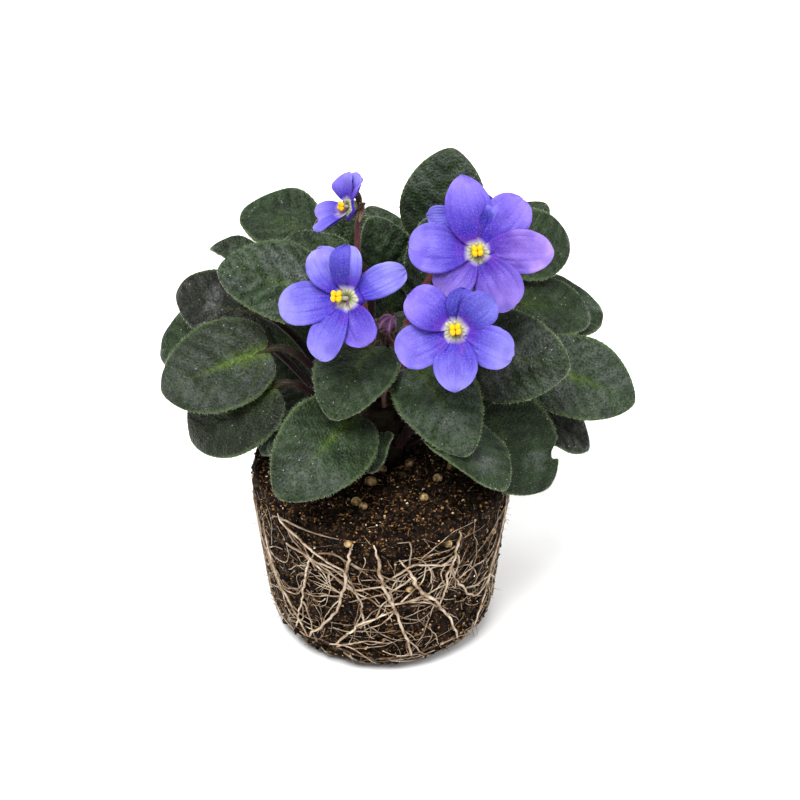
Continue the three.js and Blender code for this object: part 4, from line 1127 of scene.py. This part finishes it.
def build_pedicel(name, shape, size, neck, route, socket, seed):
    """The stalk of a bloom, its swollen calyx and five pointed sepals."""
    draws = np.random.default_rng(SEED * 500 + seed)
    seat = HUB["back"] * size - GAP
    end = [bloom_points(shape, 0, 0, seat - neck), bloom_points(shape, 0, 0, seat - 1)]
    steps = np.arange(PEDICEL_STEPS)
    radii = PEDICEL["radius"] * (1 + 0.04 * ripples(steps, 0.0 * steps, 6, seed))
    radii = np.concatenate([radii, [1.25, PEDICEL["calyx"]]])
    line = np.vstack([stalk_route(socket, route, end, PEDICEL_STEPS), bloom_points(shape, 0, 0, seat - 0.6),
                      bloom_points(shape, 0, 0, seat - 0.1)])
    piece = Piece()
    green = np.clip(np.linspace(-3, 0.5, len(line)), 0, 1)
    add_tube(piece, line, radii, PEDICEL_SIDES, point_values(green))
    t = np.linspace(0, 1, SEPAL["steps"])
    reach = SEPAL["start"] + SEPAL["length"] * t
    rise = seat - 1.1 + 1.5 * t + 0.5 * t ** 2
    width = 0.25 + 0.75 * np.sin(np.pi * np.clip(t * 0.85 + 0.12, 0, 1)) ** 0.8
    pointed = width * (1 - 0.75 * t ** 4)
    for side in full_turn(SEPAL["count"]) + np.pi / SEPAL["count"]:
        sepal = bloom_points(shape, reach * np.cos(side), reach * np.sin(side), rise)
        add_tube(piece, sepal, pointed, SEPAL["sides"], point_values(0.5 + 0.4 * t), flat=0.45)
        add_stalk_hairs(piece, draws, sepal, width, SEPAL["hairs"], PEDICEL_HAIR)
    add_stalk_hairs(piece, draws, line, radii, PEDICEL_HAIRS, PEDICEL_HAIR)
    piece.make(f"fine_pedicel_{name}", PEDICEL_FINISHES, [f"pedicel_{name}"])


def build_bud(name, bud, seed):
    """A closed flower whose petal edges wind round it, in a hairy calyx on its stalk."""
    centre, facing, radius, length, route, socket = bud
    draws = np.random.default_rng(SEED * 700 + seed)
    shape = bloom_frame(centre, facing)
    end = [bloom_points(shape, 0, 0, -length * 0.7), bloom_points(shape, 0, 0, -length * 0.4)]
    line = stalk_route(socket, route, end, BUD_STALK["steps"])
    radii = np.full(len(line), PEDICEL["radius"] * BUD_STALK["slimming"])
    green = 0.8 if name == "green" else 0.0
    piece = Piece()
    add_tube(piece, line, radii, BUD_STALK["sides"], (0.3 + green / 2, 0, 0, 0), BUD_STALK_SKIN)

    share = np.linspace(0, 1, BUD_ROWS)
    s, t = np.meshgrid(share, full_turn(BUD_SIDES), indexing="ij")
    swell = np.interp(share, *zip(*BUD_SWELL))[:, None]
    girth = radius * swell * (1 - 0.10 * np.abs(np.cos(2.5 * t + 2.2 * s)) ** 6)
    body = bloom_points(shape, girth * np.cos(t), girth * np.sin(t), (s - 0.5) * length)
    ends = [bloom_points(shape, 0, 0, length * z) for z in (-0.5, 0.51)]
    pale = np.maximum(0, np.cos(5 * t + 4.4 * s + 0.9)) ** 6 * smooth(0.1, 0.4, s)
    values = np.vstack([point_values(np.full(pale.size, green), pale.ravel()), [(green, 0, 0, 0)] * 2])
    piece.add(np.vstack([body.reshape(-1, 3), *ends]), closed_faces(BUD_ROWS, BUD_SIDES), values)

    q = np.linspace(0, 1, BUD_SEPAL["steps"])
    reach = radius * (0.35 + 0.78 * np.sin(np.pi * 0.62 * q))
    rise = length * (-0.5 + BUD_SEPAL["length"] * q)
    width = radius * BUD_SEPAL["width"] * (1 - 0.8 * q ** 3)
    for side in full_turn(SEPAL["count"]):
        sepal = bloom_points(shape, reach * np.cos(side), reach * np.sin(side), rise)
        add_tube(piece, sepal, width, BUD_SEPAL["sides"], (0.6, 0, 0, 0), BUD_STALK_SKIN, 0.5)
    skin = body[2:-3].reshape(-1, 3)
    roots = skin[draws.integers(0, len(skin), BUD_HAIRS)]
    lengths = draws.uniform(*HAIR_LENGTHS["bud"], BUD_HAIRS)
    add_hairs(piece, roots, roots - shape[0], lengths, LEAF_HAIR, BUD_HAIR)
    add_stalk_hairs(piece, draws, line, radii, BUD_STALK["hairs"], BUD_HAIR)
    piece.make(f"fine_bud_{name}", BUD_FINISHES, [f"bud_{name}"])


# Crown

def build_crown():
    """The short stem, ringed with the scars of shed leaves."""
    heights = np.linspace(BALL["height"] - HOLE["depth"] + GAP, CROWN["top"], CROWN_ROWS)
    z, t = np.meshgrid(heights, full_turn(CROWN_SIDES), indexing="ij")
    scars = np.maximum(0, np.sin(t * 5 + z * 1.3)) * np.sin(z * 1.1) ** 2
    radius = crown_radius(z) + CROWN_SCARS * (scars - 1) + 0.15 * ripples(t * 6, z, 3, 4)
    body = np.stack([radius * np.cos(t), radius * np.sin(t), z], axis=-1).reshape(-1, 3)
    piece = Piece()
    points = np.vstack([body, (0, 0, heights[0]), (0, 0, heights[-1])])
    piece.add(points, closed_faces(CROWN_ROWS, CROWN_SIDES))
    piece.make("fine_crown", [CROWN_BARK], ["crown_stem"])


# Soil

def crumble(points, size, seed):
    """Noise from -1 to 1 at each point, with lumps of about that size in millimetres."""
    shift = Vector((seed * 7.3, seed * 3.1, seed * 5.7))
    return np.array([noise.fractal(Vector(p) / size + shift, 0.9, 2.1, 4) for p in points])


def soil_height(radius):
    """Height of the ball's top at a distance from its axis."""
    brim, rise = BALL["height"], BALL["rise"]
    stations = (HOLE["radius"], BALL["top"] * 0.62, BALL["top"] - BALL["shoulder"], BALL["top"] - 1.2)
    return np.interp(radius, stations, (brim + rise, brim + rise * 0.6, brim, brim - 0.8))


def soil_section():
    """(Radius, height) from the underside's middle, up the wall and over the top into the hole."""
    hollow, floor = HOLE["radius"], BALL["height"] - HOLE["depth"]
    foot = np.linspace(0, BALL["foot"], SOIL_ROWS["foot"])[:-1]
    side = np.linspace(BALL["foot"], BALL["height"] - BALL["shoulder"], SOIL_ROWS["wall"])
    under = [(r, 0.0) for r in np.linspace(1, ball_radius(0.0) - 0.4, SOIL_ROWS["under"])]
    wall = [(ball_radius(z), z) for z in (*foot, *side)]
    top = [(r, soil_height(r)) for r in np.linspace(BALL["top"] - 1.2, hollow, SOIL_ROWS["top"])]
    hole = [(hollow - 0.1, BALL["height"] - 3), (hollow - 0.2, floor + 0.2), (1.0, floor)]
    return np.array(under + wall + top + hole)


def build_soil():
    section = soil_section()
    radius, z = np.repeat(section, SOIL_SIDES, axis=0).T
    points = around(np.tile(360 * np.arange(SOIL_SIDES) / SOIL_SIDES, len(section)), radius, z)
    coarse = crumble(points, SOIL_LUMPS["coarse"], 1)
    fine = crumble(points, SOIL_LUMPS["fine"], 2)
    dent = np.clip(0.25 - 0.9 * coarse - 0.8 * fine, *DENTS)
    on_top = (z > BALL["height"] - 1) & (radius > HOLE["radius"])
    beneath = z < 0.01
    on_wall = ~on_top & ~beneath & (radius > HOLE["radius"])
    ragged_foot = smooth(9, 2, z) * np.clip(1.4 * coarse + 0.5, 0, 1.4)
    hollow_base = np.clip(0.5 * dent, 0, 0.5) * smooth(0, 4, radius)
    points[:, :2] *= (1 - np.where(on_wall, dent + ragged_foot, 0) / radius)[:, None]
    points[:, 2] += np.where(on_top, -dent, 0) + np.where(beneath, hollow_base, 0)
    ends = ((0, 0, 0.2), (0, 0, BALL["height"] - HOLE["depth"]))
    piece = Piece()
    piece.add(np.vstack([points, ends]), closed_faces(len(section), SOIL_SIDES))
    for k, (x, y, r) in enumerate(GRAINS):
        place = (x, y, soil_height(np.hypot(x, y)) + 0.35 * r)
        add_bead(piece, place, (r, r, GRAIN_HEIGHT * r), k, finish=GRAIN)
    for k, (degrees, height, r) in enumerate(WALL_GRAINS):
        place = around(degrees, ball_radius(height) + 0.1, height)
        add_bead(piece, place, (r, r, GRAIN_HEIGHT * r), k + 40, finish=GRAIN)
    piece.make("fine_soil", SOIL_FINISHES, ["soil_ball"])


def surface_places(count, part):
    """Random places on the ball's wall or top, with the way out of the soil there."""
    degrees = rng.uniform(0, 360, count)
    if part == "wall":
        z = rng.uniform(1.0, BALL["height"] - 2, count)
        radius = ball_radius(z) - rng.uniform(0.0, BURIED["wall"], count)
        return around(degrees, radius, z), around(degrees, 1.0, 0.1)
    radius = np.sqrt(rng.uniform((HOLE["radius"] + 1) ** 2, (BALL["top"] - 1.5) ** 2, count))
    z = soil_height(radius) - rng.uniform(0.0, BURIED["top"], count)
    return around(degrees, radius, z), around(degrees, 0.1, 1.0)


def build_crumbs():
    corners, shell = np.array(CRUMB_CORNERS, float), np.array(CRUMB_FACES)
    shares = np.array([kind[0] for kind in CRUMB_KINDS])
    piece = Piece()
    for part, count in CRUMBS.items():
        places, ways = surface_places(count, part)
        kinds = rng.choice(len(CRUMB_KINDS), count, p=shares / shares.sum())
        for place, way, kind in zip(places, ways, kinds):
            _, colour, (small, large), flat = CRUMB_KINDS[kind]
            size = rng.uniform(small, large)
            spin, tilt = (Matrix.Rotation(rng.uniform(0, 6.28), 3, axis) for axis in "ZX")
            form = corners * rng.uniform(0.7, 1.2, (len(corners), 1))
            form = form * (size, size * rng.uniform(0.5, 1), size * flat)
            tone = np.array(colour) * rng.uniform(0.6, 1.4)
            points = place + form @ np.array(spin @ tilt) + way * (0.25 - 0.4 * size)
            points[:, 2] = np.maximum(points[:, 2], LOWEST)
            piece.add(points, [shell], (*tone, 1))
    piece.make("soil_crumbs", [CRUMB], [])


def build_fibres():
    """Golden peat and coir threads lying in and on the soil."""
    piece = Piece()
    for part, count in FIBRES.items():
        places, ways = surface_places(count, part)
        for place, way in zip(places, ways):
            heading = unit(np.cross(way, rng.normal(0, 1, 3)))
            bend = unit(np.cross(way, heading)) * rng.uniform(-0.5, 0.5)
            length = 0.7 + 2.3 * rng.random() ** 2
            t = np.linspace(-0.5, 0.5, 5)[:, None]
            line = place + heading * t * length + bend * length * t ** 2
            line = line + way * (0.8 + rng.uniform(-0.3, 0.6) * t)
            line[:, 2] = np.maximum(line[:, 2], LOWEST + 0.15)
            tone = FIBRE_TONES[rng.integers(0, len(FIBRE_TONES))]
            add_tube(piece, line, rng.uniform(0.06, 0.13), 4, (*tone, 1))
    piece.make("soil_fibres", [CRUMB], [])


# Roots

class PartDraws:
    """The number sequence that the part's own roots are drawn from, so that these lie on them."""

    def __init__(self, seed):
        self.state = seed

    def random(self):
        self.state = (self.state * 1664525 + 1013904223) % 4294967296
        return self.state / 4294967296

    def spread(self, size):
        return (self.random() * 2 - 1) * size


def part_roots():
    """Width and (degrees, height) stations of every root of the part's net."""
    roots = list(FRONT_ROOTS)
    draws = PartDraws(ROOT_SEED)
    side = SIDE_ROOTS
    for i in range(side["count"]):
        degrees = side["from"] + (side["to"] - side["from"]) * i / side["count"] + draws.spread(4)
        drift = draws.spread(side["lean"])
        start = (degrees, side["top"] - draws.random() * 8)
        middle = (degrees + drift * 0.4 + draws.spread(5), (side["top"] + side["foot"]) / 2 + draws.spread(5))
        width = side["width"] * (0.8 + 0.4 * draws.random())
        roots.append((width, (start, middle, (degrees + drift, side["foot"]))))
    cross = CROSS_ROOTS
    for i in range(cross["count"]):
        degrees = 360 * i / cross["count"] + draws.spread(6)
        z = cross["lowest"] + (cross["highest"] - cross["lowest"]) * draws.random()
        end = min(max(z + draws.spread(cross["rise"]), 8), 49)
        middle = (degrees + cross["reach"] / 2, (z + end) / 2 + draws.spread(3))
        roots.append((cross["width"], ((degrees, z), middle, (degrees + cross["reach"], end))))
    return roots


def edge_values(line, sides, brown):
    """Values of each of a tube's points: how brown it is, and how near to where the root meets the soil, for
    painted shade.
    """
    facing = np.einsum("ijk,ik->ij", tube_skin(line, sides), unit(line * (1, 1, 0)))
    values = np.zeros((facing.size + 2, 4))
    values[:, 0] = brown
    values[:-2, 1] = smooth(0.85, 0.1, facing).ravel()
    return values


def lay_root(piece, route, width, sides, brown, sink):
    """A root on the ball's wall along (degrees, height) points, wavering a little and thinner at its ends."""
    steps = len(route)
    share = np.linspace(0, 1, steps)
    radii = width / 2 * (1 - NET["taper"] * share) * (0.45 + 0.55 * smooth(0, 0.22, share))
    waver = np.cumsum(rng.normal(0, 0.22, steps))
    waver -= np.linspace(waver[0], waver[-1], steps)
    degrees = route[:, 0] + waver / MM_PER_DEGREE
    z = np.clip(route[:, 1] + np.cumsum(rng.normal(0, 0.07, steps)), 0.6, BALL["height"] - 1)
    knobs = 1 + 0.10 * ripples(np.arange(steps), np.zeros(steps), 4.5, int(rng.integers(0, 9999)))
    line = around(degrees, ball_radius(z) + radii * 0.9 + 0.45 - sink - 0.5 * smooth(0.12, 0, share), z)
    add_tube(piece, line, radii * knobs, sides, edge_values(line, sides, brown))
    return degrees, z


def lay_branch(piece, degrees, z, width, length, heading):
    """A thin root that wanders over the wall from a place, at first along the heading from level."""
    steps = max(8, int(length * 1.4))
    turns = heading + rng.normal(0, 0.9) * np.linspace(0, 1, steps) + np.cumsum(rng.normal(0, 0.15, steps))
    step = length / steps
    along = degrees + np.cumsum(np.cos(turns)) * step / MM_PER_DEGREE
    height = np.clip(z + np.cumsum(np.sin(turns)) * step, 1.0, BALL["height"] - 3)
    radii = width / 2 * np.linspace(1, 0.35, steps)
    line = around(along, ball_radius(height) + radii + rng.uniform(-0.1, 0.25), height)
    # The second value here darkens the whole thin root by a random amount, not its edges.
    add_tube(piece, line, radii, BRANCH["sides"], (rng.uniform(0, 0.9), rng.uniform(0, 0.5), 0, 0))


def build_root_net():
    """The larger roots and the ring round the foot. Returns the (degrees, heights) that each follows."""
    piece = Piece()
    laid = []
    for width, stations in part_roots():
        route = smooth_route(stations, NET["steps"])
        brown = rng.uniform(*NET["brown"])
        laid.append(lay_root(piece, route, width * NET["slimming"], NET["sides"], brown, NET["sink"]))
    turn = np.linspace(0, 1, RING["steps"])
    degrees = RING["turn"] * turn
    waves = np.sin(radians(degrees * 5)) + np.sin(radians(degrees * 2 + 60))
    heights = RING_ROOT["height"] + RING_ROOT["sway"] * (waves + turn)
    ring = np.stack([degrees, heights], axis=1)
    width = RING_ROOT["width"] * RING["slimming"]
    for start, end in RING_PARTS:
        laid.append(lay_root(piece, ring[start:end], width, RING["sides"], RING["brown"], RING["sink"]))
    piece.make("fine_roots", [ROOT], ["root_net"])
    return laid


def build_branches(laid):
    piece = Piece()
    for degrees, z in laid:
        for _ in range(int(len(z) * BRANCH["per_step"])):
            k = rng.integers(3, len(z) - 3)
            heading = np.arctan2(z[k + 2] - z[k - 2], (degrees[k + 2] - degrees[k - 2]) * MM_PER_DEGREE)
            heading += rng.choice((-1, 1)) * rng.uniform(*BRANCH["turns"])
            width, length = rng.uniform(*BRANCH["widths"]), rng.uniform(*BRANCH["lengths"])
            lay_branch(piece, degrees[k], z[k], width, length, heading)
    piece.make("root_branches", [ROOT], [])


def build_threads():
    piece = Piece()
    for _ in range(THREAD["count"]):
        z = THREAD["lowest"] + THREAD["range"] * rng.random() ** 1.1
        heading = rng.choice((0, np.pi)) + rng.normal(0, 0.75)
        degrees = rng.uniform(0, 360)
        width, length = rng.uniform(*THREAD["widths"]), rng.uniform(*THREAD["lengths"])
        lay_branch(piece, degrees, z, width, length, heading)
    piece.make("root_threads", [ROOT], [])


def build_stray_roots():
    """Short thin root ends that curl away from the wall."""
    piece = Piece()
    count = STRAY["count"]
    degrees = rng.uniform(0, 360, count)
    z = rng.uniform(0.8, STRAY["highest"], count)
    starts = around(degrees, ball_radius(z) - 0.2, z)
    ways = around(degrees, 1.0, 0.0) + rng.normal(0, 0.6, (count, 3))
    t = np.linspace(0, 1, STRAY["steps"])[:, None]
    radii = np.linspace(*STRAY["radii"], STRAY["steps"])
    for start, way in zip(starts, ways):
        length = rng.uniform(*STRAY["lengths"])
        curl = rng.normal(0, 0.5, 3)
        line = start + unit(way) * t * length + curl * t ** 2 * length * 0.6
        line[:, 2] = np.maximum(line[:, 2], 0.2)
        add_tube(piece, line, radii, STRAY["sides"], (rng.uniform(0, 1), 0, 0, 0))
    piece.make("stray_roots", [ROOT], [])


# Building

for build, table in ((build_leaf, LEAVES), (build_bloom, BLOOMS), (build_bud, BUDS)):
    for number, (name, row) in enumerate(table.items()):
        build(name, row, number)
build_crown()
build_soil()
build_crumbs()
build_fibres()
build_branches(build_root_net())
build_threads()
build_stray_roots()


# Stage

def build_floor():
    bpy.ops.mesh.primitive_plane_add(size=FLOOR_WIDTH)
    floor = bpy.context.object
    floor.name = "floor"
    f = Finish("pale_floor", 0.9, 0.1)
    floor.data.materials.append(f.done(f.mix((0.88, 0.88, 0.88), (0.90, 0.90, 0.90), f.noise(40))))


def add_object(name, data, place, way):
    """Puts a light or camera at a place, looking the given way."""
    made = bpy.data.objects.new(name, data)
    made.location = place
    made.rotation_euler = Vector(way).to_track_quat("-Z", "Y").to_euler()
    bpy.context.scene.collection.objects.link(made)
    return made


def build_lights():
    """Far soft lights that shine towards the origin, and a plain white sky."""
    for name, place, width, strength in LIGHTS:
        lamp = bpy.data.lights.new(name, "SUN")
        lamp.angle = radians(width)
        lamp.energy = strength
        add_object(name, lamp, place, -Vector(place))
    world = bpy.data.worlds.new("studio")
    world.use_nodes = True
    sky = world.node_tree.nodes["Background"]
    sky.inputs["Color"].default_value = (1, 1, 1, 1)
    sky.inputs["Strength"].default_value = SKY_STRENGTH
    bpy.context.scene.world = world


def build_camera():
    angle = radians(VIEW["elevation"])
    away = Vector((0, -np.cos(angle), np.sin(angle))) * VIEW["distance"] * MM
    lens = bpy.data.cameras.new("camera")
    lens.sensor_width = SENSOR
    lens.lens = SENSOR * VIEW["focal_pixels"] / VIEW["frame_pixels"]
    lens.clip_start = 0.01
    bpy.context.scene.camera = add_object("camera", lens, Vector(VIEW["target"]) * MM + away, -away)


build_floor()
build_camera()
build_lights()
bpy.context.scene.view_settings.view_transform = "Standard"
bpy.context.scene.view_settings.look = "Medium High Contrast"
